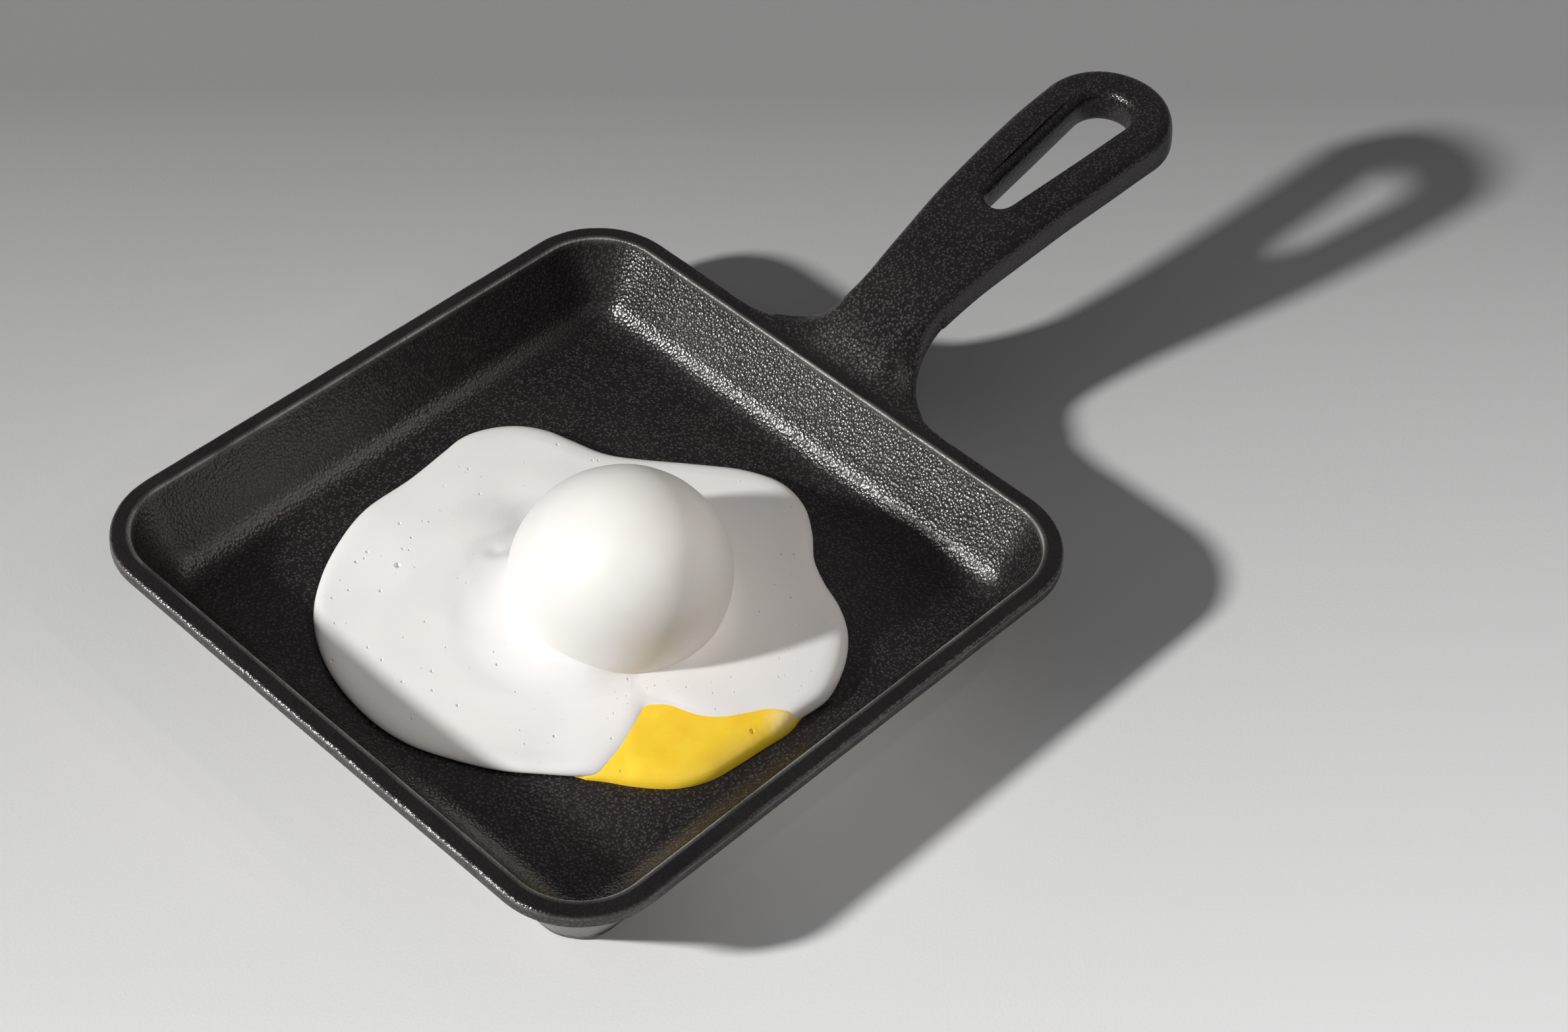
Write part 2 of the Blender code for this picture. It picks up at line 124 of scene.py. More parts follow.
# %% Node helpers
def node(tree, kind, inputs=None, **settings):
    """Adds a node, sets it up, and fills its inputs with values or other nodes' sockets."""
    made = tree.nodes.new(kind)
    for key, value in settings.items():
        setattr(made, key, value)
    for key, value in (inputs or {}).items():
        if isinstance(value, bpy.types.NodeSocket):
            tree.links.new(value, made.inputs[key])
        else:
            made.inputs[key].default_value = value
    return made


def calculate(tree, operation, *values):
    """The result socket of one Math node."""
    return node(tree, "ShaderNodeMath", dict(enumerate(values)), operation=operation).outputs[0]


def remap(tree, value, start, end, low=0.0, high=1.0, soft=True):
    """Turns start to end into low to high, held level past both, with or without soft ends."""
    return node(
        tree, "ShaderNodeMapRange",
        {"Value": value, "From Min": start, "From Max": end, "To Min": low, "To Max": high},
        interpolation_type="SMOOTHSTEP" if soft else "LINEAR",
    ).outputs[0]


def mix_colours(tree, share, first, second):
    """The colour that lies some share of the way from the first to the second."""
    inputs = {"Factor": share, 6: first, 7: second}
    return node(tree, "ShaderNodeMix", inputs, data_type="RGBA").outputs[2]


def add_bump(tree, shader, height, distance):
    """Shades the surface as if a height from 0 to 1 were relief of some depth."""
    inputs = {"Height": height, "Distance": distance, "Strength": 1.0}
    bump = node(tree, "ShaderNodeBump", inputs)
    tree.links.new(bump.outputs[0], shader.inputs["Normal"])


def new_group(name, kind, inputs, outputs):
    """An empty node group with named sockets, and its input and output nodes."""
    group = bpy.data.node_groups.new(name, kind)
    for label, (socket_type, value) in inputs.items():
        socket = group.interface.new_socket(label, in_out="INPUT", socket_type=socket_type)
        if value is not None:
            socket.default_value = value
    for label, socket_type in outputs.items():
        group.interface.new_socket(label, in_out="OUTPUT", socket_type=socket_type)
    return group, group.nodes.new("NodeGroupInput").outputs, group.nodes.new("NodeGroupOutput").inputs


def place_group(tree, group, inputs):
    """Puts a shader group in a material and returns its outputs."""
    return node(tree, "ShaderNodeGroup", inputs, node_tree=group).outputs


def new_material(name, **sockets):
    """A material, its tree, its Principled shader with plain values set, and its coordinates."""
    material = bpy.data.materials.new(name)
    material.use_nodes = True
    tree = material.node_tree
    shader = tree.nodes["Principled BSDF"]
    for key, value in sockets.items():
        shader.inputs[key.replace("_", " ")].default_value = value
    place = tree.nodes.new("ShaderNodeTexCoord").outputs["Object"]
    return material, tree, shader, place


print("Blender", bpy.app.version_string)

# %% [markdown]
# ## Small helpers for meshes
#
# Every main piece here is a body whose cross-section changes along a path, so it is made as
# rows of points with faces between them. The rows are worked out as arrays, which keeps the
# rule of each shape in a few lines. A finished mesh is closed and its faces look outwards.

# %% Mesh helpers
def skin(name, rings):
    """A closed mesh over rows of equally many points, with its first and last row capped."""
    rings = np.asarray(rings, dtype=float)
    rows, count = rings.shape[:2]
    index = np.arange(rows * count).reshape(rows, count)
    low, high = index[:-1], index[1:]
    faces = np.stack(
        (low, np.roll(low, -1, 1), np.roll(high, -1, 1), high), axis=-1
    ).reshape(-1, 4)
    mesh = bpy.data.meshes.new(name)
    mesh.from_pydata(
        rings.reshape(-1, 3).tolist(),
        [],
        [*faces.tolist(), index[0].tolist(), index[-1].tolist()],
    )
    return mesh


def tidy(mesh, weld=0.002 * MM):
    """Merges doubled points and turns the faces outwards."""
    build = bmesh.new()
    build.from_mesh(mesh)
    bmesh.ops.remove_doubles(build, verts=build.verts[:], dist=weld)
    bmesh.ops.recalc_face_normals(build, faces=build.faces[:])
    build.to_mesh(mesh)
    build.free()


def add_piece(name, mesh, material, node_name, sharp_degrees=40):
    """Shows a finished mesh, smooth but for its sharp edges, in place of one solid."""
    mesh.shade_smooth()
    mesh.set_sharp_from_angle(angle=math.radians(sharp_degrees))
    mesh.materials.clear()
    mesh.materials.append(material)
    piece = bpy.data.objects.new(name, mesh)
    bpy.context.scene.collection.objects.link(piece)
    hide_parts(node_name)
    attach(piece, "root")
    mesh.calc_loop_triangles()
    print(name, "has", len(mesh.loop_triangles), "triangles")
    return piece


def positions(mesh):
    """A mesh's points as an array."""
    points = np.empty(len(mesh.vertices) * 3)
    mesh.vertices.foreach_get("co", points)
    return points.reshape(-1, 3)


def set_positions(mesh, points):
    mesh.vertices.foreach_set("co", np.asarray(points).ravel())
    mesh.update()


def noise_at(points, size):
    """Smooth random values from about -1 to 1, one for each point, with bumps of one size."""
    return np.array([noise.noise(Vector(point) / size) for point in points])


print("noise at the origin is", noise_at([(0, 0, 0)], MM)[0])

# %% [markdown]
# ## Three effects for the materials
#
# The iron, the shell, the white and the yolk are all slightly uneven in tone and all have a
# fine grain, and the white is dotted with pinpricks as well. Each effect is a shader group
# with named inputs, so that a material only states its own sizes.

# %% Shared shader groups
def make_slow_tone():
    """Drifts between two colours over patches of one size."""
    group, given, result = new_group(
        "slow_tone",
        "ShaderNodeTree",
        {
            "Vector": ("NodeSocketVector", None),
            "Patch Size": ("NodeSocketFloat", 0.01),
            "Low Colour": ("NodeSocketColor", (0.4, 0.4, 0.4, 1)),
            "High Colour": ("NodeSocketColor", (0.6, 0.6, 0.6, 1)),
        },
        {"Colour": "NodeSocketColor", "Share": "NodeSocketFloat"},
    )
    scale = calculate(group, "DIVIDE", 1.0, given["Patch Size"])
    cloud = node(
        group, "ShaderNodeTexNoise",
        {"Vector": given["Vector"], "Scale": scale, "Detail": 3.0, "Roughness": 0.55},
    )
    share = remap(group, cloud.outputs["Fac"], 0.3, 0.7)
    colour = mix_colours(group, share, given["Low Colour"], given["High Colour"])
    group.links.new(colour, result["Colour"])
    group.links.new(share, result["Share"])
    return group


def make_fine_grain():
    """Pebbles of one size, softened by finer noise: a height, and a mask of their tops."""
    group, given, result = new_group(
        "fine_grain",
        "ShaderNodeTree",
        {
            "Vector": ("NodeSocketVector", None),
            "Grain Size": ("NodeSocketFloat", 0.0005),
            "Pebbles": ("NodeSocketFloat", 0.5),
        },
        {"Height": "NodeSocketFloat", "Tops": "NodeSocketFloat"},
    )
    scale = calculate(group, "DIVIDE", 1.0, given["Grain Size"])
    rough = node(
        group, "ShaderNodeTexNoise",
        {"Vector": given["Vector"], "Scale": scale, "Detail": 2.0, "Roughness": 0.6},
    )
    cells = node(
        group, "ShaderNodeTexVoronoi",
        {"Vector": given["Vector"], "Scale": scale},
        feature="F1",
    )
    dome = calculate(group, "SUBTRACT", 1.0, cells.outputs["Distance"])
    height = node(
        group, "ShaderNodeMix",
        {"Factor": given["Pebbles"], 2: rough.outputs["Fac"], 3: dome},
        data_type="FLOAT",
    )
    group.links.new(height.outputs[0], result["Height"])
    group.links.new(remap(group, height.outputs[0], 0.5, 0.85), result["Tops"])
    return group


def make_pinholes():
    """Scattered round pits: a mask that is 1 inside a pit."""
    group, given, result = new_group(
        "pinholes",
        "ShaderNodeTree",
        {
            "Vector": ("NodeSocketVector", None),
            "Spacing": ("NodeSocketFloat", 0.002),
            "Pit Share": ("NodeSocketFloat", 0.12),
            "Pits Kept": ("NodeSocketFloat", 0.3),
        },
        {"Mask": "NodeSocketFloat"},
    )
    scale = calculate(group, "DIVIDE", 1.0, given["Spacing"])
    cells = node(group, "ShaderNodeTexVoronoi", {"Vector": given["Vector"], "Scale": scale})
    inner = calculate(group, "MULTIPLY", given["Pit Share"], 0.4)
    pit = remap(group, cells.outputs["Distance"], inner, given["Pit Share"], 1.0, 0.0)
    lot = node(group, "ShaderNodeSeparateColor", {"Color": cells.outputs["Color"]})
    kept = calculate(group, "LESS_THAN", lot.outputs["Red"], given["Pits Kept"])
    group.links.new(calculate(group, "MULTIPLY", pit, kept), result["Mask"])
    return group


SLOW_TONE = make_slow_tone()
FINE_GRAIN = make_fine_grain()
PINHOLES = make_pinholes()
print("shader groups", [group.name for group in bpy.data.node_groups])

# %% [markdown]
# ## Lamp, fill and sky
#
# One lamp at the upper left, small enough for its shadows to keep their edges, gives nearly
# all the light. A dim even sky lifts the shadows. In a pale room the food's shaded sides are
# also lit by what stands round it, so a row of weak spots on an arc is aimed at the food
# alone. Their cones are narrow, which keeps the skillet's shadow on the floor as it is.

# %% Lamp, fill and sky
LAMP_PLACE = (-0.818, 0.387, 0.5045)
LAMP_RADIUS = 0.042
LAMP_WATTS = 50.5
LAMP_COLOUR = (1.0, 0.995, 0.985)
FOOD_MIDDLE = Vector((-0.003, -0.002, 0.008))
# A row of weak spots on an arc from the right to the front, warm to less warm.
FILL_COUNT = 8
FILL_TURN = (math.radians(-22), math.radians(-128))
FILL_ELEVATIONS = (math.radians(50), math.radians(38))
FILL_DISTANCE = 1.0
FILL_WATTS = (3.0, 1.7)
FILL_COLOURS = ((1.0, 0.91, 0.82), (1.0, 0.96, 0.93))
FILL_RADIUS = 0.03
FILL_CONE = math.radians(6.8)
FILL_BLEND = 0.5
SKY_COLOUR = (0.98, 0.985, 1.0, 1)
SKY_STRENGTH = 0.125

lamp_data = bpy.data.lights.new("lamp", "POINT")
lamp_data.energy = LAMP_WATTS
lamp_data.shadow_soft_size = LAMP_RADIUS
lamp_data.color = LAMP_COLOUR
lamp = bpy.data.objects.new("lamp", lamp_data)
lamp.location = LAMP_PLACE
bpy.context.scene.collection.objects.link(lamp)

for i in range(FILL_COUNT):
    way = i / (FILL_COUNT - 1)
    turn = FILL_TURN[0] + way * (FILL_TURN[1] - FILL_TURN[0])
    rise = FILL_ELEVATIONS[i % 2]
    level = math.cos(rise)
    out = Vector((math.cos(turn) * level, math.sin(turn) * level, math.sin(rise)))
    spot_data = bpy.data.lights.new("fill", "SPOT")
    spot_data.energy = FILL_WATTS[0] + way * (FILL_WATTS[1] - FILL_WATTS[0])
    spot_data.shadow_soft_size = FILL_RADIUS
    spot_data.color = [a + way * (b - a) for a, b in zip(*FILL_COLOURS)]
    spot_data.spot_size = FILL_CONE
    spot_data.spot_blend = FILL_BLEND
    spot = bpy.data.objects.new("fill", spot_data)
    spot.location = FOOD_MIDDLE + FILL_DISTANCE * out
    spot.rotation_euler = out.to_track_quat("Z", "Y").to_euler()
    bpy.context.scene.collection.objects.link(spot)

world = bpy.data.worlds.new("sky")
world.use_nodes = True
world.node_tree.nodes["Background"].inputs["Color"].default_value = SKY_COLOUR
world.node_tree.nodes["Background"].inputs["Strength"].default_value = SKY_STRENGTH
bpy.context.scene.world = world
bpy.context.scene.view_settings.view_transform = "Standard"
print("lamp stands", round(Vector(LAMP_PLACE).length, 3), "m from the skillet")

# %% [markdown]
# ## The sheet of paper below
#
# The skillet stands on studio paper that is graded from grey at the back to pale at the
# front. What can be read from the picture is how bright each place of it is, so that is what
# is given here, and the paper's own colour is worked out by dividing by the light there.

# %% Floor
FLOOR_HALF = 3.0
PAPER_DARK = 0.243
PAPER_PALE = 0.77
PAPER_MIDDLE = 0.548
PAPER_GAIN_PER_METRE = 2.048
PAPER_TOWARDS_PALE = math.atan2(-0.731, -0.683)
PAPER_WHITEST = 0.97
PAPER_GRAIN = 0.6 * MM
PAPER_FLECKS = (0.97, 1.03)


def make_floor_material():
    material, tree, shader, place = new_material("graded_grey_paper", Roughness=0.8)
    shader.inputs["Specular IOR Level"].default_value = 0.1
    turned = node(tree, "ShaderNodeMapping", {
        "Vector": place, "Rotation": (0, 0, -PAPER_TOWARDS_PALE),
    })
    along = node(tree, "ShaderNodeSeparateXYZ", {"Vector": turned.outputs[0]})
    ends = [(tone - PAPER_MIDDLE) / PAPER_GAIN_PER_METRE for tone in (PAPER_DARK, PAPER_PALE)]
    grade = remap(tree, along.outputs["X"], *ends, PAPER_DARK, PAPER_PALE, soft=False)
    # The lamp's light at each place falls off with distance and with the slant.
    distance = node(
        tree, "ShaderNodeVectorMath", {0: place, 1: LAMP_PLACE}, operation="DISTANCE"
    ).outputs["Value"]
    strength = LAMP_WATTS * LAMP_PLACE[2] / (4 * math.pi**2)
    from_lamp = calculate(tree, "DIVIDE", strength, calculate(tree, "POWER", distance, 3.0))
    light = calculate(tree, "ADD", from_lamp, SKY_STRENGTH)
    tone = calculate(tree, "MINIMUM", calculate(tree, "DIVIDE", grade, light), PAPER_WHITEST)
    grain = place_group(tree, FINE_GRAIN, {
        "Vector": place, "Grain Size": PAPER_GRAIN, "Pebbles": 0.2,
    })
    fleck = remap(tree, grain["Height"], 0.0, 1.0, *PAPER_FLECKS, soft=False)
    # Where even the whitest paper would be too dark, the sheet makes up the difference as a glow:
    # painted light, an emission that brightens the paper where the lamp falls short.
    most = calculate(tree, "MULTIPLY", light, PAPER_WHITEST)
    painted_glow = calculate(tree, "MAXIMUM", calculate(tree, "SUBTRACT", grade, most), 0.0)
    shader.inputs["Emission Strength"].default_value = 1.0
    for level, socket in (
        (calculate(tree, "MULTIPLY", tone, fleck), "Base Color"),
        (painted_glow, "Emission Color"),
    ):
        grey = node(tree, "ShaderNodeCombineColor", dict.fromkeys(("Red", "Green", "Blue"), level))
        tree.links.new(grey.outputs[0], shader.inputs[socket])
    add_bump(tree, shader, grain["Height"], 0.02 * MM)
    return material


corners = [(x * FLOOR_HALF, y * FLOOR_HALF, 0) for x, y in ((-1, -1), (1, -1), (1, 1), (-1, 1))]
floor_mesh = bpy.data.meshes.new("floor")
floor_mesh.from_pydata(corners, [], [(0, 1, 2, 3)])
floor_mesh.materials.append(make_floor_material())
floor = bpy.data.objects.new("floor", floor_mesh)
bpy.context.scene.collection.objects.link(floor)
print("paper goes from", PAPER_DARK, "to", PAPER_PALE, "in brightness")

# %% [markdown]
# ## The skillet's bowl
#
# The bowl is sand-cast: drafted walls, a rim with a low flange, and a floor fillet. All its
# rings are rounded squares round the same four corner centres, so one profile carried
# round the square makes the whole of it. The rings are close together here, because the
# casting's waviness and its rough outer rim edge are real shape, added further down.

# %% Bowl
RIM_HEIGHT = 17.5 * MM
RIM_HALF = 63.5 * MM
RIM_ROUNDING = 0.9 * MM
FLANGE_DEPTH = 2.5 * MM
FLANGE_PROUD = 1.1 * MM
FLANGE_FILLET = 0.3 * MM
MOUTH_HALF = 59.7 * MM
MOUTH_ROUNDING = 0.4 * MM
CORNER_CENTRE = 46.9 * MM
CORNER_STEPS = 26
SIDE_STEPS = 104
BASE_HALF = 55.0 * MM
BASE_ROUNDING = 1.4 * MM
FLOOR_THICKNESS = 2.8 * MM
FLOOR_FILLET = 7.1 * MM
WALL_SLOPE = 0.507
LONGEST_STEP = 0.8 * MM
FLOOR_SHARES = (0.94, 0.82, 0.64, 0.42, 0.18)


def arc(centre, radius, start, end, steps):
    """(half-size, height) points round a centre, between two angles in degrees."""
    angles = [math.radians(start + (end - start) * step / steps) for step in range(steps + 1)]
    return [(centre[0] + radius * math.cos(a), centre[1] + radius * math.sin(a)) for a in angles]


def refine(points, longest):
    """The same polyline, with its long stretches cut into equal short ones."""
    fine = [points[0]]
    for a, b in zip(points, points[1:]):
        parts = max(1, math.ceil(math.dist(a, b) / longest))
        for part in range(1, parts + 1):
            share = part / parts
            fine.append(tuple(p + share * (q - p) for p, q in zip(a, b)))
    return fine


def bowl_profile():
    """(half-size, height) from the underside, up the outer wall, over the rim, to the floor."""
    flange_z = RIM_HEIGHT - FLANGE_DEPTH
    wall_lean = math.degrees(math.atan(WALL_SLOPE))
    wall_foot = MOUTH_HALF - WALL_SLOPE * (RIM_HEIGHT - MOUTH_ROUNDING - FLOOR_THICKNESS)
    floor_half = wall_foot - FLOOR_FILLET * math.tan(math.radians(90 - wall_lean) / 2)
    return refine(
        [
            *arc((BASE_HALF - BASE_ROUNDING, BASE_ROUNDING), BASE_ROUNDING, -90, 0, 6),
            (RIM_HALF - FLANGE_PROUD, flange_z - FLANGE_FILLET),
            (RIM_HALF - FLANGE_FILLET, flange_z),
            (RIM_HALF, flange_z + FLANGE_FILLET),
            *arc((RIM_HALF - RIM_ROUNDING, RIM_HEIGHT - RIM_ROUNDING), RIM_ROUNDING, 0, 90, 7),
            *arc((MOUTH_HALF + MOUTH_ROUNDING, RIM_HEIGHT - MOUTH_ROUNDING),
                 MOUTH_ROUNDING, 90, 180, 5),
            *arc((floor_half, FLOOR_THICKNESS + FLOOR_FILLET), FLOOR_FILLET, -wall_lean, -90, 10),
        ],
        LONGEST_STEP,
    )


def rounded_square(half, z):
    """One ring of the bowl: four corner arcs and the sides between them."""
    radius = half - CORNER_CENTRE
    ring = []
    for quarter in range(4):
        turn = Matrix.Rotation(quarter * math.pi / 2, 3, "Z")
        for step in range(CORNER_STEPS + 1):
            angle = math.pi / 2 * step / CORNER_STEPS
            x = CORNER_CENTRE + radius * math.cos(angle)
            y = CORNER_CENTRE + radius * math.sin(angle)
            ring.append(turn @ Vector((x, y, z)))
        for step in range(1, SIDE_STEPS):
            x = CORNER_CENTRE * (1 - 2 * step / SIDE_STEPS)
            ring.append(turn @ Vector((x, CORNER_CENTRE + radius, z)))
    return np.array(ring)


def bowl_mesh():
    rings = [rounded_square(half, z) for half, z in bowl_profile()]
    shrink = [np.array((share, share, 1)) for share in FLOOR_SHARES]
    under = [rings[0] * share for share in reversed(shrink)]
    floor_rings = [rings[-1] * share for share in shrink]
    return skin("bowl", [*under, *rings, *floor_rings])


print("bowl profile has", len(bowl_profile()), "rings")

# %% [markdown]
# ## The handle
#
# The handle is cast in one piece with the bowl. It climbs out of the rim in a saddle,
# widens to a round tip, and is drafted down to a parting line on its side. Half-sections
# carried along one side, round the tip and back make it, with the sizes of the solid and
# more points.

# %% Handle
TIP_CENTRE_X = 135.9 * MM
TIP_STEPS = 60
ROOT_START_X = 60.8 * MM
ROOT_CENTRE_X = 81.8 * MM
ROOT_FILLET = 18.5 * MM
ROOT_REACH_Y = 27.5 * MM
ROOT_END_LEAN = 0.4
RISE_KNOTS = (
    (60.8, -0.4), (62.6, 0.05), (64.5, 1.1), (68.0, 3.4), (80.0, 9.4), (95.0, 14.4),
    (110.0, 17.6), (125.0, 19.8), (140.0, 21.1), (150.0, 21.7),
)
WIDTH_KNOTS = (
    (60.8, 10.0), (68.0, 9.3), (76.0, 8.8), (88.0, 9.5), (100.0, 10.9), (112.0, 12.0),
    (124.0, 13.0), (135.9, 13.6),
)
HANDLE_STATIONS = (*np.arange(61.4, 84.0, 0.6), *np.arange(84.8, 135.9, 1.0), 135.9)
HANDLE_THICKNESS = 6.9 * MM
HANDLE_DRAFT = 0.3 * MM
HANDLE_ROUNDING = 3.2 * MM
SHOULDER_STEPS = 14
PARTING_RISE = 1.7 * MM
LAND_FOOT_RISE = 0.9 * MM
LEAST_LAND = 0.25 * MM
UNDER_BEVEL = (1.0 * MM, 0.75 * MM)
UNDER_INSET = 2.6 * MM
RAMP_END_X = 66.0 * MM
STEEP_START_X = 75.0 * MM
RAMP_PULL = 0.45
RAMP_TOE = 0.8 * MM
RIM_COVER = 0.1 * MM
RIM_BITE = 2.2 * MM


def smooth_curve(knots, x):
    """Cubic through (x, y) knots in millimetres, in metres, held level past its ends."""
    xs, ys = np.array(knots).T * MM
    slopes = np.gradient(ys, xs)
    i = int(np.clip(np.searchsorted(xs, x) - 1, 0, len(xs) - 2))
    step = xs[i + 1] - xs[i]
    t = float(np.clip((x - xs[i]) / step, 0.0, 1.0))
    return (
        (2 * t**3 - 3 * t**2 + 1) * ys[i]
        + (t**3 - 2 * t**2 + t) * step * slopes[i]
        + (3 * t**2 - 2 * t**3) * ys[i + 1]
        + (t**3 - t**2) * step * slopes[i + 1]
    )


def handle_top(x):
    return RIM_HEIGHT + smooth_curve(RISE_KNOTS, x)


def root_half_width(x):
    """Half-width at the parting line, flared into the rim by the root fillet."""
    if x >= ROOT_CENTRE_X:
        return smooth_curve(WIDTH_KNOTS, min(x, TIP_CENTRE_X)) + HANDLE_DRAFT
    run = min(ROOT_CENTRE_X - x, ROOT_FILLET)
    return ROOT_REACH_Y - math.sqrt(ROOT_FILLET**2 - run**2)


def bezier(a, b, c, d, t):
    s = 1 - t
    return tuple(
        s**3 * a[k] + 3 * s * s * t * b[k] + 3 * s * t * t * c[k] + t**3 * d[k] for k in (0, 1)
    )


def handle_half_section(x):
    """(outward, height) points from the middle of the top to the middle of the underside."""
    top = handle_top(x)
    under = top - HANDLE_THICKNESS
    width = smooth_curve(WIDTH_KNOTS, min(x, TIP_CENTRE_X))
    widest = root_half_width(x)
    parting = min(max(RIM_HEIGHT - RIM_COVER, under + PARTING_RISE), top - RIM_COVER / 2)
    land_foot = min(max(RIM_HEIGHT - RIM_BITE, under + LAND_FOOT_RISE), parting - LEAST_LAND)
    steep = float(np.clip((x - RAMP_END_X) / (STEEP_START_X - RAMP_END_X), 0.0, 1.0))
    start = (width - HANDLE_ROUNDING, top)
    leave = (start[0] + HANDLE_ROUNDING * (0.9 - 0.1 * steep), top)
    ramp_arrive = (widest - RAMP_PULL * (widest - width) - RAMP_TOE, parting)
    steep_arrive = (width + HANDLE_DRAFT / 3, top - HANDLE_ROUNDING / 3)
    arrive = tuple(ramp_arrive[k] * (1 - steep) + steep_arrive[k] * steep for k in (0, 1))
    side = [
        bezier(start, leave, arrive, (widest, parting), step / SHOULDER_STEPS)
        for step in range(SHOULDER_STEPS + 1)
    ]
    # Near the rim the outer edge is rounded over as the rim's own edge is.
    rounding = RIM_ROUNDING * (1 - steep)
    if rounding > 0:
        bends = [min(max(q - (widest - rounding), 0.0), rounding) for q, _ in side]
        side = [
            (q, z - rounding + math.sqrt(rounding**2 - bend**2))
            for (q, z), bend in zip(side, bends)
        ]
    flat_top = [(start[0] * share, top) for share in (0.0, 0.2, 0.4, 0.6, 0.8)]
    return [
        *flat_top,
        *side,
        (widest, land_foot),
        (widest - UNDER_BEVEL[0], land_foot - UNDER_BEVEL[1]),
        (width - UNDER_INSET, under),
        ((width - UNDER_INSET) / 2, under),
        (0.0, under),
    ]


def tip_ring(section, angle):
    """The half-section at the tip's centre, turned to one angle round it."""
    ring = []
    for q, z in section:
        x = TIP_CENTRE_X + q * math.cos(angle)
        ring.append((x, q * math.sin(angle), z + handle_top(x) - handle_top(TIP_CENTRE_X)))
    return ring


def handle_mesh():
    """Half-sections out along one side, round the tip and back along the other."""
    stations = [x * MM for x in HANDLE_STATIONS]
    tip_section = handle_half_section(TIP_CENTRE_X)
    start = handle_half_section(ROOT_START_X)
    ends = [
        [(ROOT_START_X + ROOT_END_LEAN * (z - RIM_HEIGHT), side * q, z) for q, z in start]
        for side in (1, -1)
    ]
    rings = [ends[0]]
    rings += [[(x, q, z) for q, z in handle_half_section(x)] for x in stations]
    for step in range(1, TIP_STEPS):
        rings.append(tip_ring(tip_section, math.pi * (0.5 - step / TIP_STEPS)))
    rings += [[(x, -q, z) for q, z in handle_half_section(x)] for x in reversed(stations)]
    rings.append(ends[1])
    # The two half-rings at the root share their middle points and make one flat end.
    build = bmesh.new()
    rows = [[build.verts.new(point) for point in ring] for ring in rings]
    for low, high in zip(rows, rows[1:]):
        for i in range(len(low) - 1):
            build.faces.new((low[i], low[i + 1], high[i + 1], high[i]))
    build.faces.new([*rows[0], *reversed(rows[-1][1:-1])])
    mesh = bpy.data.meshes.new("handle")
    build.to_mesh(mesh)
    build.free()
    return mesh


print("handle reaches x =", round((TIP_CENTRE_X + root_half_width(TIP_CENTRE_X)) / MM, 1), "mm")

# %% [markdown]
# ## The hanging slot, and one casting
#
# The slot tapers from a wide round end to a narrow one, and its top edge is broadly rounded
# so that a hook slides in. A cutter that flares as it nears both faces makes hole and edges
# in one cut. Then handle and bowl are joined with a Boolean, as the mould makes them one.

# %% Slot and joining
SLOT_NEAR = (106.4 * MM, 2.8 * MM)
SLOT_FAR = (136.1 * MM, 5.5 * MM)
SLOT_ROUNDING = 1.8 * MM
SLOT_ROUNDING_STEPS = 9
SLOT_UNDER_ROUNDING = 0.5 * MM
SLOT_ARC_STEPS = 26
SLOT_LONGEST_STEP = 1.5 * MM
CUTTER_SPARE = 1.5 * MM
CUTTER_SKIM = 0.02 * MM


def slot_ring(growth, depth):
    """The slot's outline grown by some distance, at a depth below the handle's top."""
    (near_x, near_r), (far_x, far_r) = SLOT_NEAR, SLOT_FAR
    swing = math.acos((near_r - far_r) / (far_x - near_x))
    ring = []
    for centre, radius, start, end in (
        (far_x, far_r, -swing, swing),
        (near_x, near_r, swing, 2 * math.pi - swing),
    ):
        for step in range(SLOT_ARC_STEPS + 1):
            angle = start + (end - start) * step / SLOT_ARC_STEPS
            x = centre + (radius + growth) * math.cos(angle)
            ring.append((x, (radius + growth) * math.sin(angle), handle_top(x) - depth))
    # The straight sides get points too, so that the cut edge follows the handle's rise.
    return refine([*ring, ring[0]], SLOT_LONGEST_STEP)[:-1]


def slot_ring_like(widest, growth, depth):
    """One layer of the cutter, with as many points as its widest layer has."""
    ring = np.array(slot_ring(growth, depth))
    ring = np.vstack((ring, ring[:1]))
    lengths = np.concatenate(([0], np.cumsum(np.linalg.norm(np.diff(ring, axis=0), axis=1))))
    ways = np.linspace(0, lengths[-1], len(widest), endpoint=False)
    return np.stack([np.interp(ways, lengths, ring[:, k]) for k in range(3)], axis=-1)


def slot_mesh():
    """Flares out towards the top and, less, towards the underside, as the edges are rounded."""
    layers = [(SLOT_ROUNDING, -CUTTER_SPARE)]
    for step in range(SLOT_ROUNDING_STEPS + 1):
        angle = math.pi / 2 * step / SLOT_ROUNDING_STEPS
        growth = SLOT_ROUNDING * (1 - math.sin(angle))
        layers.append((growth, max(SLOT_ROUNDING * (1 - math.cos(angle)), CUTTER_SKIM)))
    layers.append((0.0, HANDLE_THICKNESS - 2 * SLOT_UNDER_ROUNDING))
    layers.append((SLOT_UNDER_ROUNDING, HANDLE_THICKNESS - SLOT_UNDER_ROUNDING / 2))
    layers.append((2 * SLOT_UNDER_ROUNDING, HANDLE_THICKNESS + CUTTER_SPARE))
    widest = slot_ring(*layers[0])
    return skin("slot", [slot_ring_like(widest, *layer) for layer in layers])


def combine(target, tool, operation):
    """Applies one Boolean to the target object's mesh and removes the tool."""
    modifier = target.modifiers.new(operation.lower(), "BOOLEAN")
    modifier.operation = operation
    modifier.solver = "EXACT"
    modifier.object = tool
    graph = bpy.context.evaluated_depsgraph_get()
    result = bpy.data.meshes.new_from_object(target.evaluated_get(graph))
    target.modifiers.clear()
    target.data = result
    bpy.data.objects.remove(tool, do_unlink=True)


def loose_object(mesh):
    """An object for a mesh that is still being worked on."""
    tidy(mesh)
    thing = bpy.data.objects.new(mesh.name, mesh)
    bpy.context.scene.collection.objects.link(thing)
    return thing


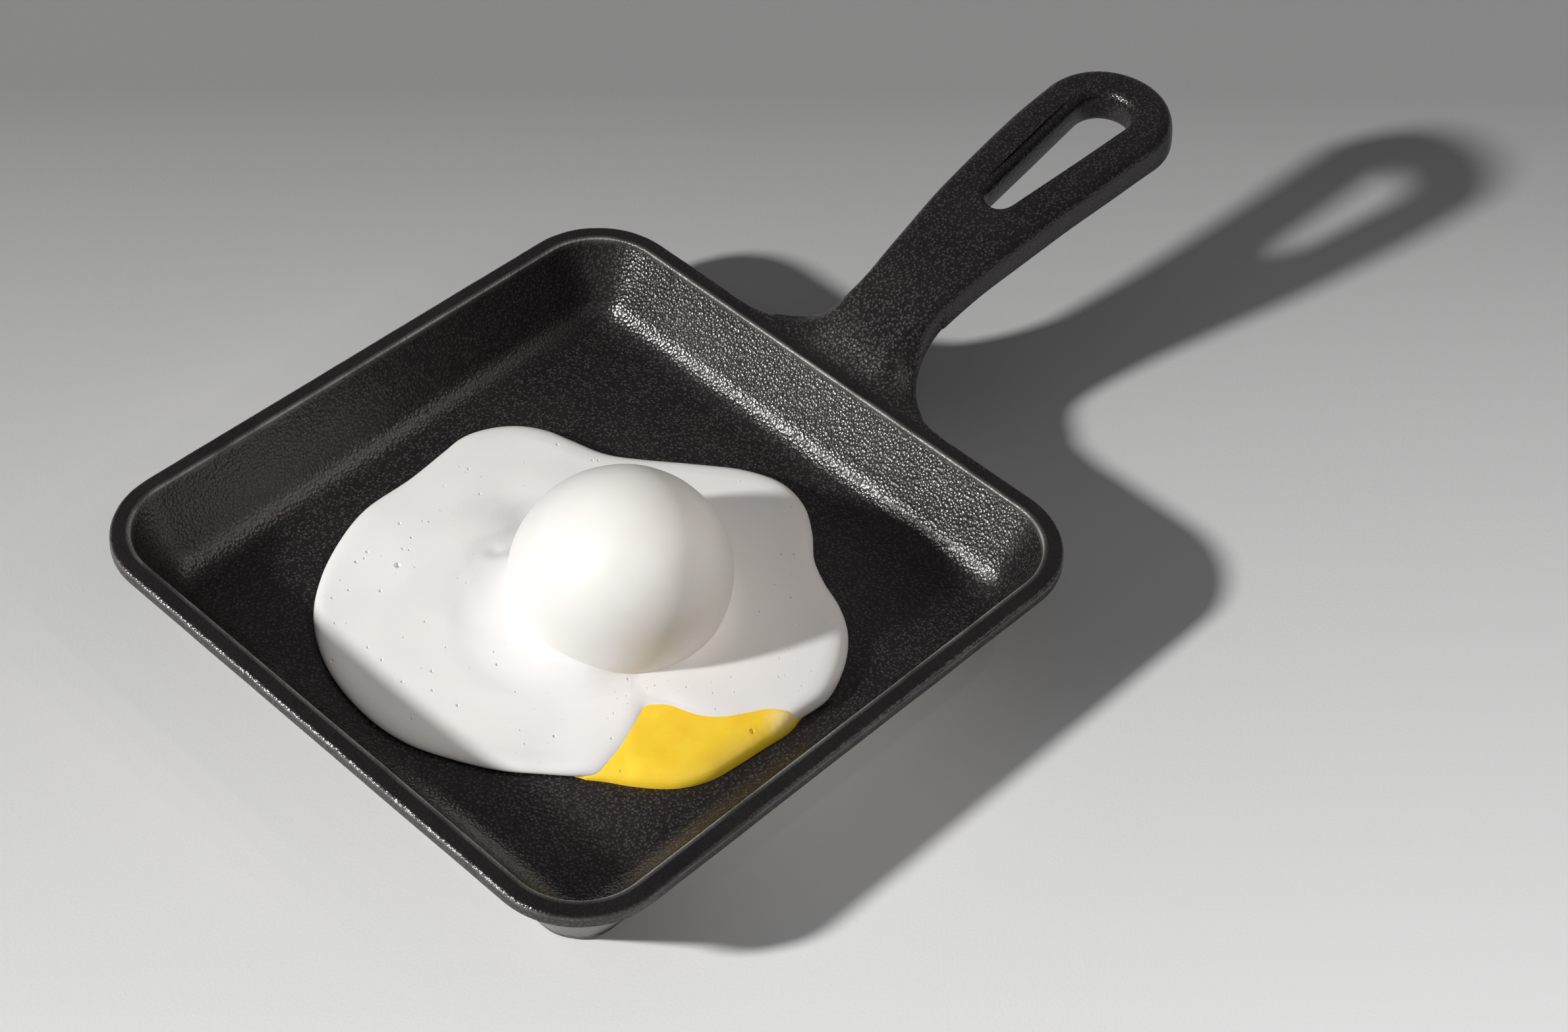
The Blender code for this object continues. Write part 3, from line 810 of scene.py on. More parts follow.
skillet = loose_object(bowl_mesh())
handle = loose_object(handle_mesh())
combine(handle, loose_object(slot_mesh()), "DIFFERENCE")
combine(skillet, handle, "UNION")
skillet_mesh = skillet.data
bpy.data.objects.remove(skillet, do_unlink=True)
print("skillet has", len(skillet_mesh.vertices), "points after joining")

# %% [markdown]
# ## Casting unevenness and wear
#
# Where the handle meets the rim, the mould has a generous blend, so the seam that the
# Boolean leaves is smoothed over a few millimetres. A sand casting is never quite flat or
# straight either: its faces wave by hundredths of a millimetre and the outer edge of the
# rim, which was ground least, is rough and slightly chipped. Both are moved into the mesh.
# Where the coat is rubbed off the rim's edges is stored with the points for the material.

# %% Blend the root and roughen the casting
BLEND_X = (57.0 * MM, 66.5 * MM)
BLEND_DEPTH = 0.3 * MM
BLEND_TOP = 0.7 * MM
BLEND_SEAM_TURN = math.radians(4)
BLEND_RADIUS = 2.4 * MM
BLEND_ROUNDS = 14
WEAR_WIDTH = 0.26 * MM
OUTER_WEAR = 0.3
WAVE_SIZE = 11 * MM
WAVE_HEIGHT = 0.05 * MM
WAVE_FADE = 3 * MM
CHIP_SIZE = 1.5 * MM
CHIP_DEPTH = 0.16 * MM
CHIP_REACH = 1.3 * MM
# The chips are full on the side far from the handle, lighter elsewhere, and stop before it.
CHIP_LEAST = 0.3
CHIP_FADE = 8 * MM
CHIP_END = (66 * MM, 2 * MM)
CHIP_TOP = 0.25
WORN_PATCH = 5 * MM


def rim_distance(points, half_size, height):
    """Distance of each point from a line that runs round the bowl at one size and height."""
    beyond = np.maximum(np.abs(points[:, :2]) - CORNER_CENTRE, 0)
    half = np.hypot(beyond[:, 0], beyond[:, 1]) + CORNER_CENTRE
    return np.hypot(half - half_size, points[:, 2] - height)


def blend_root(mesh):
    """Smooths the mesh near the hollow seam between the rim and the handle."""
    build = bmesh.new()
    build.from_mesh(mesh)
    seam = []
    for edge in build.edges:
        middle = (edge.verts[0].co + edge.verts[1].co) / 2
        above = middle.z - RIM_HEIGHT
        if BLEND_X[0] < middle.x < BLEND_X[1] and -BLEND_DEPTH < above < BLEND_TOP:
            if edge.is_manifold and edge.calc_face_angle_signed() < -BLEND_SEAM_TURN:
                seam.append(middle)
    tree = kdtree.KDTree(len(seam))
    for i, middle in enumerate(seam):
        tree.insert(middle, i)
    tree.balance()
    near = [v for v in build.verts if seam and tree.find(v.co)[2] < BLEND_RADIUS]
    for _ in range(BLEND_ROUNDS):
        bmesh.ops.smooth_vert(
            build, verts=near, factor=0.5, use_axis_x=True, use_axis_y=True, use_axis_z=True
        )
    build.to_mesh(mesh)
    build.free()
    return len(near)


def roughen(mesh):
    """Moves points along their normals: slow waves everywhere, chips on the rim's outer edge."""
    points = positions(mesh)
    normals = np.array([v.normal[:] for v in mesh.vertices])
    at_edge = np.clip(1 - rim_distance(points, RIM_HALF, RIM_HEIGHT) / CHIP_REACH, 0, 1)
    far_side = np.clip((-CORNER_CENTRE - points[:, 0]) / CHIP_FADE, 0, 1)
    at_edge *= CHIP_LEAST + (1 - CHIP_LEAST) * far_side
    at_edge *= np.clip((CHIP_END[0] - points[:, 0]) / CHIP_END[1], 0, 1)
    chips = noise_at(points, CHIP_SIZE) + 0.4 * noise_at(points, CHIP_SIZE / 2.3)
    chips = np.minimum(chips, CHIP_TOP) - CHIP_TOP
    waves = noise_at(points, WAVE_SIZE) - 0.6
    # The underside stays flat, so that the skillet stands level.
    lifted = np.clip(points[:, 2] / WAVE_FADE, 0, 1)
    move = WAVE_HEIGHT * waves * lifted + CHIP_DEPTH * chips * at_edge
    set_positions(mesh, points + normals * move[:, None])


def mark_worn_edges(mesh):
    """Stores how worn each point is: most on the mouth's sharp edge, less on the outer one."""
    points = positions(mesh)
    mouth = (MOUTH_HALF + 0.3 * MOUTH_ROUNDING, RIM_HEIGHT - 0.25 * MOUTH_ROUNDING)
    outer = (RIM_HALF - 0.15 * RIM_ROUNDING, RIM_HEIGHT - 0.5 * RIM_ROUNDING)
    worn = sum(
        most * np.exp(-((rim_distance(points, *edge) / WEAR_WIDTH) ** 2))
        for edge, most in ((mouth, 1.0), (outer, OUTER_WEAR))
    )
    worn *= np.clip(0.8 + 0.6 * noise_at(points, WORN_PATCH), 0, 1)
    mesh.attributes.new("wear", "FLOAT", "POINT").data.foreach_set("value", worn)


print("blended", blend_root(skillet_mesh), "points at the handle's root")
roughen(skillet_mesh)
mark_worn_edges(skillet_mesh)

# %% [markdown]
# ## Seasoned cast iron
#
# Seasoned iron is a nearly black metal under a thin baked coat of oil. The sand of the
# mould leaves pebbles about half a millimetre apart, and under one small lamp each pebble
# gives back a tiny spark wherever the wall leans the right way. So the colour stays almost
# black, the roughness is low enough for sparks, and a pebbled bump scatters them. The coat
# is thinnest on the pebbles' tops, so a mask of the tops lets some bare metal through.

# %% Cast iron material
IRON_DARK = (0.0080, 0.0064, 0.0080, 1)
IRON_WARM = (0.0120, 0.0097, 0.0100, 1)
IRON_BARE = (0.25, 0.23, 0.22, 1)
IRON_GRAIN = 0.56 * MM
IRON_GRAIN_HEIGHT = 0.15 * MM
# Share of bare iron on the pebbles' tops, on the ground rim and on the rough cast faces.
IRON_BARE_SHARE = (0.04, 0.45)
# More of it where the handle leaves the rim, between these places along X.
ROOT_BARE_SHARE = 0.4
ROOT_BARE_X = ((61.0 * MM, 64.0 * MM), (84.0 * MM, 74.0 * MM))
IRON_SHEEN_TINT = (1.0, 0.94, 0.95, 1)
IRON_WORN = (0.36, 0.345, 0.33, 1)
IRON_ROUGHNESS = (0.27, 0.32)


def make_cast_iron():
    material, tree, shader, place = new_material(
        "seasoned_cast_iron", IOR=1.60, Specular_Tint=IRON_SHEEN_TINT
    )
    tone = place_group(tree, SLOW_TONE, {
        "Vector": place, "Patch Size": 14 * MM,
        "Low Colour": IRON_DARK, "High Colour": IRON_WARM,
    })
    wear = node(tree, "ShaderNodeAttribute", attribute_name="wear")
    grain = place_group(tree, FINE_GRAIN, {
        "Vector": place, "Grain Size": IRON_GRAIN, "Pebbles": 0.65,
    })
    # Only the rim was ground, and is smoother than the rest.
    parts = node(tree, "ShaderNodeSeparateXYZ", {"Vector": place}).outputs
    above = calculate(tree, "SUBTRACT", parts["Z"], RIM_HEIGHT)
    from_rim = calculate(tree, "ABSOLUTE", above)
    share = remap(tree, from_rim, 0.3 * MM, 1.5 * MM, *IRON_BARE_SHARE, soft=False)
    leaving, ending = [remap(tree, parts["X"], *ends) for ends in ROOT_BARE_X]
    at_root = calculate(tree, "MULTIPLY", leaving, ending)
    share = calculate(tree, "MULTIPLY_ADD", at_root, ROOT_BARE_SHARE, share)
    bare = calculate(tree, "MULTIPLY", grain["Tops"], share)
    tree.links.new(bare, shader.inputs["Metallic"])
    cast = mix_colours(tree, bare, tone["Colour"], IRON_BARE)
    colour = mix_colours(tree, wear.outputs["Fac"], cast, IRON_WORN)
    tree.links.new(colour, shader.inputs["Base Color"])
    roughness = remap(tree, tone["Share"], 0.0, 1.0, *IRON_ROUGHNESS, soft=False)
    tree.links.new(roughness, shader.inputs["Roughness"])
    add_bump(tree, shader, grain["Height"], IRON_GRAIN_HEIGHT)
    return material


add_piece("skillet", skillet_mesh, make_cast_iron(), "pan", sharp_degrees=38)

# %% [markdown]
# ## Outlines of the pours and the egg's own shape
#
# White and yolk were poured, so their outlines are free curves. They are kept as a few
# points with a smooth curve through them, and read as a distance from the egg's middle
# line in each direction. The egg itself is a leaning spheroid.

# %% Outlines and egg
EGG_CENTRE = Vector((0.6, -6.9, 12.2)) * MM
EGG_HALF_WIDTH = 19.2 * MM
EGG_HALF_LENGTH = 22.6 * MM
EGG_LEAN = Vector((-0.05, -0.79, 1.0))
POUR_Z = FLOOR_THICKNESS + 0.05 * MM
WHITE_TOP = 6.5 * MM
YOLK_TOP = 6.0 * MM
WHITE_OUTLINE = (
    (-47.7, 4.8), (-45.5, 17.5), (-40.0, 27.8), (-32.8, 34.4), (-24.7, 38.8), (-16.6, 41.3),
    (-5.6, 41.6), (3.2, 42.7), (8.3, 43.2), (13.4, 41.7), (17.9, 38.7), (21.0, 34.5),
    (22.7, 29.1), (24.8, 21.9), (28.6, 16.2), (34.3, 9.4), (40.5, 1.4), (43.1, -5.7),
    (42.1, -12.3), (38.3, -18.0), (33.6, -23.0), (30.6, -28.4), (28.4, -34.2), (25.0, -39.3),
    (19.2, -43.9), (12.0, -46.9), (7.2, -46.8), (2.8, -46.0), (0.8, -44.9), (-3.2, -42.0),
    (-7.3, -39.2), (-10.1, -35.7), (-11.3, -33.0), (-12.6, -30.2), (-14.8, -29.3),
    (-17.0, -30.4), (-20.0, -31.9), (-24.4, -32.4), (-28.0, -32.0), (-30.3, -30.1),
    (-34.8, -25.0), (-39.2, -19.8), (-43.4, -12.5), (-46.7, -4.5),
)
YOLK_OUTLINE = (
    (-30.2, -30.6), (-28.0, -33.4), (-26.0, -36.4), (-23.5, -39.6), (-20.0, -42.9),
    (-15.1, -45.3), (-9.8, -46.1), (-3.9, -46.6), (1.4, -47.1), (3.9, -46.9),
)
CURVE_STEPS = 16


def blend(a, b, start, end, t):
    return ((end - t) * a + (t - start) * b) / (end - start)


def centripetal_point(points, knots, t):
    """The curve's point at t, by the pyramid of blends between four points and their knots."""
    p0, p1, p2, p3 = points
    t0, t1, t2, t3 = knots
    a1, a2, a3 = blend(p0, p1, t0, t1, t), blend(p1, p2, t1, t2, t), blend(p2, p3, t2, t3, t)
    return blend(blend(a1, a2, t0, t2, t), blend(a2, a3, t1, t3, t), t1, t2, t)


def spline_through(points, closed):
    """Dense centripetal curve through the points of an outline, in metres."""
    pts = [np.array(point) * MM for point in points]
    if closed:
        pts = [pts[-1], *pts, pts[0], pts[1]]
    else:
        pts = [2 * pts[0] - pts[1], *pts, 2 * pts[-1] - pts[-2]]
    dense = []
    for i in range(len(pts) - 3):
        four = pts[i : i + 4]
        knots = [0.0]
        for a, b in zip(four, four[1:]):
            knots.append(knots[-1] + math.sqrt(float(np.linalg.norm(b - a))))
        for t in np.linspace(knots[1], knots[2], CURVE_STEPS, endpoint=False):
            dense.append(centripetal_point(four, knots, t))
    if not closed:
        dense.append(pts[-2])
    return np.array(dense)


class Outline:
    """A pour's outline as its distance from the egg's middle line, by direction."""

    def __init__(self, points, closed):
        dense = spline_through(points, closed) - np.array(EGG_CENTRE.xy)
        angles = np.arctan2(dense[:, 1], dense[:, 0]) % (2 * math.pi)
        order = np.argsort(angles)
        self.angles = angles[order]
        self.reaches = np.hypot(dense[:, 0], dense[:, 1])[order]

    def reach(self, angle):
        return np.interp(
            np.asarray(angle) % (2 * math.pi), self.angles, self.reaches, period=2 * math.pi
        )

    def inset(self, angle, distance):
        """Reach after moving in by a distance measured square to the outline."""
        step = 0.02
        slope = (self.reach(angle + step) - self.reach(angle - step)) / (2 * step)
        squareness = np.cos(np.arctan(slope / self.reach(angle)))
        return self.reach(angle) - distance / np.maximum(squareness, 0.6)


def around(reach, angle, z):
    """Points at a distance from the egg's middle line, in each direction, at each height."""
    return np.stack(
        (
            EGG_CENTRE.x + reach * np.cos(angle),
            EGG_CENTRE.y + reach * np.sin(angle),
            np.broadcast_to(z, np.shape(angle)),
        ),
        axis=-1,
    )


def egg_frame():
    """Turns the egg's own axis, its local Z, onto its lean."""
    return EGG_LEAN.normalized().to_track_quat("Z", "Y").to_matrix()


def egg_reach(angle, z, spare=0.0):
    """Distance from the egg's middle line to its surface, in each direction, at each height."""
    turn = np.array(egg_frame().transposed())
    half = np.array((EGG_HALF_WIDTH, EGG_HALF_WIDTH, EGG_HALF_LENGTH)) + spare
    z = np.broadcast_to(z, np.shape(angle))
    level = np.zeros_like(z)
    origin = np.stack((level, level, z - EGG_CENTRE.z), -1) @ turn.T / half
    heading = np.stack((np.cos(angle), np.sin(angle), level), -1) @ turn.T / half
    a = (heading**2).sum(-1)
    b = 2 * (heading * origin).sum(-1)
    c = (origin**2).sum(-1) - 1
    return (-b + np.sqrt(b * b - 4 * a * c)) / (2 * a)


white_outline = Outline(WHITE_OUTLINE, closed=True)
yolk_outline = Outline(YOLK_OUTLINE, closed=False)
print("white reaches", round(white_outline.reaches.min() / MM, 1), "to",
      round(white_outline.reaches.max() / MM, 1), "mm from the egg's middle line")

# %% [markdown]
# ## The poured white
#
# The white is a thick matte pour. Its edge is a soft bullnose, its top drifts up and down a
# little, and it climbs the egg in a broad fillet on the side away from the handle and in a
# narrow one elsewhere. Rings carried in from the edge to the egg make it, and every rule
# of its relief is a height that is added over its plan.

# %% White
WHITE_DIRECTIONS = 520
WHITE_EDGE = (
    (0.75, 0.0), (0.28, 0.07), (0.06, 0.18), (0.0, 0.32), (0.07, 0.46), (0.26, 0.60),
    (0.60, 0.735), (1.10, 0.85), (1.75, 0.93), (2.6, 0.975), (3.6, 1.0),
)
EDGE_STEPS = 22
TOP_STEPS = 64
# Direction in degrees, and the height and width in millimetres of the fillet up to the egg.
FILLET_KNOTS = (
    (0, 1.0, 4.0), (45, 1.0, 4.0), (90, 1.4, 5.0), (106, 1.6, 5.0), (114, 3.0, 8.0),
    (140, 3.7, 10.0), (165, 3.9, 10.5), (190, 3.8, 9.5), (210, 2.8, 8.0), (224, 1.3, 5.0),
    (235, 0.7, 3.4), (247, 0.9, 3.6), (270, 1.4, 4.0), (315, 1.6, 4.0),
)
# Direction in degrees, how far the top falls towards its edge in millimetres, and how much
# of the full edge rounding is kept. Beside the yolk the white runs out almost flush.
EDGE_KNOTS = (
    (0, 0.0, 1.0), (232, 0.0, 1.0), (236, 0.05, 0.9), (242, 0.40, 0.5), (272, 0.42, 0.45),
    (280, 0.25, 0.7), (290, 0.0, 1.0),
)
WHITE_WAVE = (13 * MM, 0.16 * MM)
# Pixel in the picture, radius and height in millimetres, of single soft dips and swells.
WHITE_SWELLS = (
    ((795, 772), 5.5, -0.9),
    ((752, 838), 1.6, -0.3),
    ((860, 620), 8.0, 0.2),
    ((1200, 900), 9.0, 0.25),
    ((1100, 918), 3.0, -0.3),
)
RIPPLE_CENTRE = (645, 945)
RIPPLE_SPACING = 1.15 * MM
RIPPLE_HEIGHT = 0.018 * MM
RIPPLE_PATCH = ((575, 990), 7.0 * MM)
# Size of the places where a ripple strays and by how far, and size of the gaps in it.
RIPPLE_STRAY = (6 * MM, 0.9 * MM)
RIPPLE_GAP = 4 * MM
# How far the white reaches into the egg, and where its pocket ends above its underside.
EGG_BITE = 0.15 * MM
POCKET_RISE = 1.2 * MM
# Width in degrees of the sector, round one direction, where the top slopes to its edge.
SLOPE_DIRECTION = 170.0
SLOPE_SECTOR = (34.0, 62.0)
SLOPE_FALL = 1.7 * MM


def by_direction(knots, angle, column):
    """Reads one column of (degrees, value, ...) knots at each direction, smoothly."""
    table = np.array(knots)
    fine = np.arange(0, 360, 2.0)
    values = np.interp(fine, table[:, 0], table[:, column], period=360)
    for _ in range(3):
        values = (np.roll(values, 1) + 2 * values + np.roll(values, -1)) / 4
    return np.interp(np.degrees(angle) % 360, fine, values, period=360)


def swell(points, pixel, radius):
    """A soft round bump of height one, centred on what a pixel shows."""
    centre = np.array(seen_at(pixel, WHITE_TOP))[:2]
    apart = np.linalg.norm(points[..., :2] - centre, axis=-1)
    return np.exp(-((apart / radius) ** 2))


def white_relief(points):
    """Height to add to the white's top over its plan."""
    shape = points.shape[:-1]
    size, height = WHITE_WAVE
    flat = points.reshape(-1, 3) * (1, 1, 0)
    relief = height * noise_at(flat, size).reshape(shape)
    for pixel, radius, rise in WHITE_SWELLS:
        relief += rise * MM * swell(points, pixel, radius * MM)
    centre = np.array(seen_at(RIPPLE_CENTRE, WHITE_TOP))[:2]
    apart = np.linalg.norm(points[..., :2] - centre, axis=-1)
    size, height = RIPPLE_STRAY
    apart += height * noise_at(flat, size).reshape(shape)
    pixel, radius = RIPPLE_PATCH
    rings = np.maximum(np.cos(2 * math.pi * apart / RIPPLE_SPACING), 0) ** 3
    rings *= np.clip(0.5 + 1.2 * noise_at(flat, RIPPLE_GAP).reshape(shape), 0, 1)
    return relief + RIPPLE_HEIGHT * rings * swell(points, pixel, radius)


print("white's top is", round((WHITE_TOP - POUR_Z) / MM, 2), "mm above its underside")

# %% [markdown]
# ## The white's rings
#
# The rings go round the bullnose to a shoulder, across the top to the egg, and a little way
# down inside it. Where the outline turns in sharply, as beside the yolk, the shoulder cuts
# the corner, because rings that follow it closely would fold over one another.

# %% White's body
def long_slope(angles):
    """How far the top slopes down to its edge on the side away from the handle."""
    off = np.abs((np.degrees(angles) - SLOPE_DIRECTION + 180) % 360 - 180)
    inner, outer = SLOPE_SECTOR
    t = np.clip((outer - off) / (outer - inner), 0, 1)
    return SLOPE_FALL * t * t * (3 - 2 * t)


def open_notches(reach):
    """The least reach over a few neighbouring directions, smoothed, so no ring folds over."""
    least = np.min([np.roll(reach, shift) for shift in range(-4, 5)], axis=0)
    for _ in range(8):
        least = (np.roll(least, 1) + 2 * least + np.roll(least, -1)) / 4
    return np.minimum(least, reach)


def white_mesh():
    angles = np.linspace(0, 2 * math.pi, WHITE_DIRECTIONS, endpoint=False)
    depth = WHITE_TOP - POUR_Z
    insets, shares = np.array(WHITE_EDGE).T
    knots = np.linspace(0, len(WHITE_EDGE) - 1, EDGE_STEPS)
    insets = np.interp(knots, np.arange(len(WHITE_EDGE)), insets) * MM
    shares = np.interp(knots, np.arange(len(WHITE_EDGE)), shares)
    rise = by_direction(FILLET_KNOTS, angles, 1) * MM
    width = by_direction(FILLET_KNOTS, angles, 2) * MM
    fall = by_direction(EDGE_KNOTS, angles, 1) * MM
    roundness = by_direction(EDGE_KNOTS, angles, 2)
    slope = long_slope(angles)
    contact = egg_reach(angles, WHITE_TOP + rise, -EGG_BITE)
    edge = white_outline.reach(angles)
    shoulder = open_notches(white_outline.inset(angles, insets[-1] * roundness))
    width = np.minimum(width, 0.92 * (shoulder - contact))
    rings = [
        around(
            edge + (shoulder - edge) * inset / insets[-1],
            angles,
            POUR_Z + share * (depth - fall - slope),
        )
        for inset, share in zip(insets, shares)
    ]
    for way in np.linspace(0, 1, TOP_STEPS)[1:]:
        reach = shoulder + way * (contact - shoulder)
        up = np.clip(1 - (reach - contact) / width, 0, 1)
        climb = 0.55 * up**2 + 0.45 * (1 - np.sqrt(1 - up**2))
        sag = fall * np.clip(1 - way * 1.6, 0, 1) ** 2 + slope * (1 - way) ** 1.15
        rings.append(around(reach, angles, WHITE_TOP - sag + rise * climb))
    rings = np.array(rings)
    share = np.clip((rings[..., 2] - POUR_Z) / depth, 0, 1) ** 2
    rings[..., 2] += share * white_relief(rings)
    pocket_top = rings[-1][..., 2]
    inside = []
    for share in (0.25, 0.5, 0.75, 1.0):
        z = pocket_top + share * (POUR_Z + POCKET_RISE - pocket_top)
        inside.append(around(egg_reach(angles, z, -EGG_BITE), angles, z))
    return skin("white", [*rings, *inside])


poured_white = white_mesh()
tidy(poured_white)
print("white has", len(poured_white.polygons), "faces before its pinholes")

# %% [markdown]
# ## Pinholes with Geometry Nodes
#
# Small air bubbles burst in the pour and left round pits. The larger ones can be picked
# out one by one in the picture, so their pixels are named and turned into places on the
# white, and a few more are sown in the parts that the picture doesn't show. A node tree
# puts a small sphere at each place, at its own size, and takes the spheres away from the
# pour. The result is a plain mesh, so the pits are real shape in every view.

# %% Pit cutting tree
PIT_SPHERE_LEVEL = 2


def make_pit_cutter():
    """Takes small spheres at the points of another object away from a solid."""
    tree, given, result = new_group(
        "cut_pits",
        "GeometryNodeTree",
        {
            "Solid": ("NodeSocketGeometry", None),
            "Pit Places": ("NodeSocketObject", None),
            "Size Factor": ("NodeSocketFloat", 1.0),
            "Finish": ("NodeSocketMaterial", None),
        },
        {"Geometry": "NodeSocketGeometry"},
    )
    places = node(tree, "GeometryNodeObjectInfo", {"Object": given["Pit Places"]})
    dots = node(tree, "GeometryNodeMeshToPoints", {"Mesh": places.outputs["Geometry"]})
    ball = node(tree, "GeometryNodeMeshIcoSphere", {
        "Radius": 1.0, "Subdivisions": PIT_SPHERE_LEVEL,
    })
    radius = node(tree, "GeometryNodeInputNamedAttribute", {"Name": "pit_radius"})
    size = calculate(tree, "MULTIPLY", radius.outputs["Attribute"], given["Size Factor"])
    balls = node(tree, "GeometryNodeInstanceOnPoints", {
        "Points": dots.outputs[0], "Instance": ball.outputs["Mesh"], "Scale": size,
    })
    real = node(tree, "GeometryNodeRealizeInstances", {"Geometry": balls.outputs[0]})
    cut = node(
        tree, "GeometryNodeMeshBoolean",
        {"Mesh 1": given["Solid"], "Mesh 2": real.outputs[0]},
        operation="DIFFERENCE", solver="MANIFOLD",
    )
    last = node(tree, "GeometryNodeRealizeInstances", {"Geometry": cut.outputs["Mesh"]})
    done = node(tree, "GeometryNodeSetMaterial", {
        "Geometry": last.outputs[0], "Material": given["Finish"],
    })
    tree.links.new(done.outputs[0], result["Geometry"])
    return tree


def run_tree(tree, mesh, values):
    """Runs a Geometry Nodes tree on a mesh and returns the result as a plain mesh."""
    thing = loose_object(mesh)
    modifier = thing.modifiers.new(tree.name, "NODES")
    modifier.node_group = tree
    for item in tree.interface.items_tree:
        if item.item_type == "SOCKET" and item.in_out == "INPUT" and item.name in values:
            modifier[item.identifier] = values[item.name]
    graph = bpy.context.evaluated_depsgraph_get()
    result = bpy.data.meshes.new_from_object(thing.evaluated_get(graph))
    thing.modifiers.clear()
    bpy.data.objects.remove(thing, do_unlink=True)
    return result


def cut_pits(mesh, pits, finish):
    """Cuts pits, given as (place, radius) in metres, into a closed mesh."""
    dots = bpy.data.meshes.new("pit_places")
    dots.from_pydata([place for place, _ in pits], [], [])
    sizes = dots.attributes.new("pit_radius", "FLOAT", "POINT")
    sizes.data.foreach_set("value", [radius for _, radius in pits])
    holder = bpy.data.objects.new("pit_places", dots)
    bpy.context.scene.collection.objects.link(holder)
    values = {"Pit Places": holder, "Size Factor": 1.0, "Finish": finish}
    result = run_tree(PIT_CUTTER, mesh, values)
    bpy.data.objects.remove(holder, do_unlink=True)
    return result


PIT_CUTTER = make_pit_cutter()
print("pit cutting tree has", len(PIT_CUTTER.nodes), "nodes")

# %% [markdown]
# ## The set white's finish and its pits
#
# Set white is matte and almost pure white, a shade warmer where it is thin. Its skin has a
# very fine grain, and between the real pits there are many pinpricks too small to model,
# which stay in the bump and, as painted shade that darkens them, in the colour.

# %% White material and pits
WHITE_COOL = (0.745, 0.730, 0.728, 1)
WHITE_WARM = (0.760, 0.742, 0.732, 1)
# Painted shade: the colour that darkens the tiny pits, as shade would fall in them.
PINPRICK_SHADE = (0.42, 0.40, 0.37, 1)
PINPRICK_SHADE_SHARE = 0.35
PINPRICK_DEPTH = 3.0
# Pixel in the picture and radius in millimetres of each pit.
WHITE_PITS = (
    ((603, 858), 0.52), ((846, 675), 0.3), ((899, 699), 0.24), ((908, 699), 0.24),
    ((711, 712), 0.26), ((728, 750), 0.26), ((674, 738), 0.2), ((606, 795), 0.26),
    ((642, 791), 0.2), ((651, 792), 0.2), ((624, 816), 0.24), ((611, 833), 0.24),
    ((621, 835), 0.2), ((557, 838), 0.26), ((553, 848), 0.22), ((540, 853), 0.3),
    ((517, 881), 0.2), ((529, 896), 0.24), ((504, 908), 0.22), ((577, 897), 0.3),
    ((508, 946), 0.22), ((645, 944), 0.22), ((558, 983), 0.24), ((504, 1003), 0.24),
    ((579, 1002), 0.24), ((655, 1019), 0.28), ((610, 1035), 0.24), ((656, 1048), 0.22),
    ((754, 1009), 0.24), ((694, 1071), 0.24), ((655, 1135), 0.22), ((623, 1092), 0.2),
    ((841, 1118), 0.26), ((856, 1160), 0.22), ((928, 1121), 0.24), ((1185, 842), 0.2),
    ((1204, 842), 0.2), ((1199, 908), 0.22), ((1152, 929), 0.2), ((1042, 1043), 0.22),
    ((953, 1031), 0.2),
)
SOWN_PITS = 70
SOWN_SEED = 11
PIT_SINK = -0.1
PIT_GROWTH = 1.25


def make_set_white():
    material, tree, shader, place = new_material("set_egg_white", Roughness=0.55)
    shader.inputs["Specular IOR Level"].default_value = 0.35
    tone = place_group(tree, SLOW_TONE, {
        "Vector": place, "Patch Size": 9 * MM,
        "Low Colour": WHITE_COOL, "High Colour": WHITE_WARM,
    })
    holes = place_group(tree, PINHOLES, {
        "Vector": place, "Spacing": 1.7 * MM, "Pit Share": 0.075, "Pits Kept": 0.25,
    })
    # Painted shade: the tiny pits are darkened in colour, as shade falls in them.
    pinprick_shade = calculate(tree, "MULTIPLY", holes["Mask"], PINPRICK_SHADE_SHARE)
    colour = mix_colours(tree, pinprick_shade, tone["Colour"], PINPRICK_SHADE)
    tree.links.new(colour, shader.inputs["Base Color"])
    grain = place_group(tree, FINE_GRAIN, {
        "Vector": place, "Grain Size": 0.5 * MM, "Pebbles": 0.15,
    })
    depth = calculate(tree, "MULTIPLY", holes["Mask"], PINPRICK_DEPTH)
    add_bump(tree, shader, calculate(tree, "SUBTRACT", grain["Height"], depth), 0.018 * MM)
    return material


def surface_height(mesh):
    """A function that gives the height of a mesh's upper face under any (x, y)."""
    build = bmesh.new()
    build.from_mesh(mesh)
    tree = BVHTree.FromBMesh(build)
    build.free()

    def height(x, y):
        hit = tree.ray_cast(Vector((x, y, 60 * MM)), Vector((0, 0, -1)))[0]
        return hit.z if hit else None

    return height


def pits_at_pixels(pits, height, level):
    """Places each pit on the surface that its pixel shows, by a few steps down the ray."""
    placed = []
    for pixel, radius in pits:
        z = level
        for _ in range(4):
            point = seen_at(pixel, z)
            z = height(point.x, point.y) or z
        point = seen_at(pixel, z)
        size = PIT_GROWTH * radius * MM
        placed.append((point + Vector((0, 0, size * PIT_SINK)), size))
    return placed


def sown_pits(count, seed, height):
    """More small pits at seeded places between the egg and the edge."""
    pick = np.random.default_rng(seed)
    placed = []
    while len(placed) < count:
        angle = pick.uniform(0, 2 * math.pi)
        way = pick.uniform(0.18, 0.9)
        radius = pick.uniform(0.12, 0.22) * MM
        inner, outer = egg_reach(angle, WHITE_TOP), white_outline.reach(angle)
        x, y, _ = around(inner + way * (outer - inner), angle, 0.0)
        z = height(x, y)
        if z is not None and z < 2 * WHITE_TOP:
            placed.append((Vector((x, y, z + PIT_SINK * radius)), radius))
    return placed


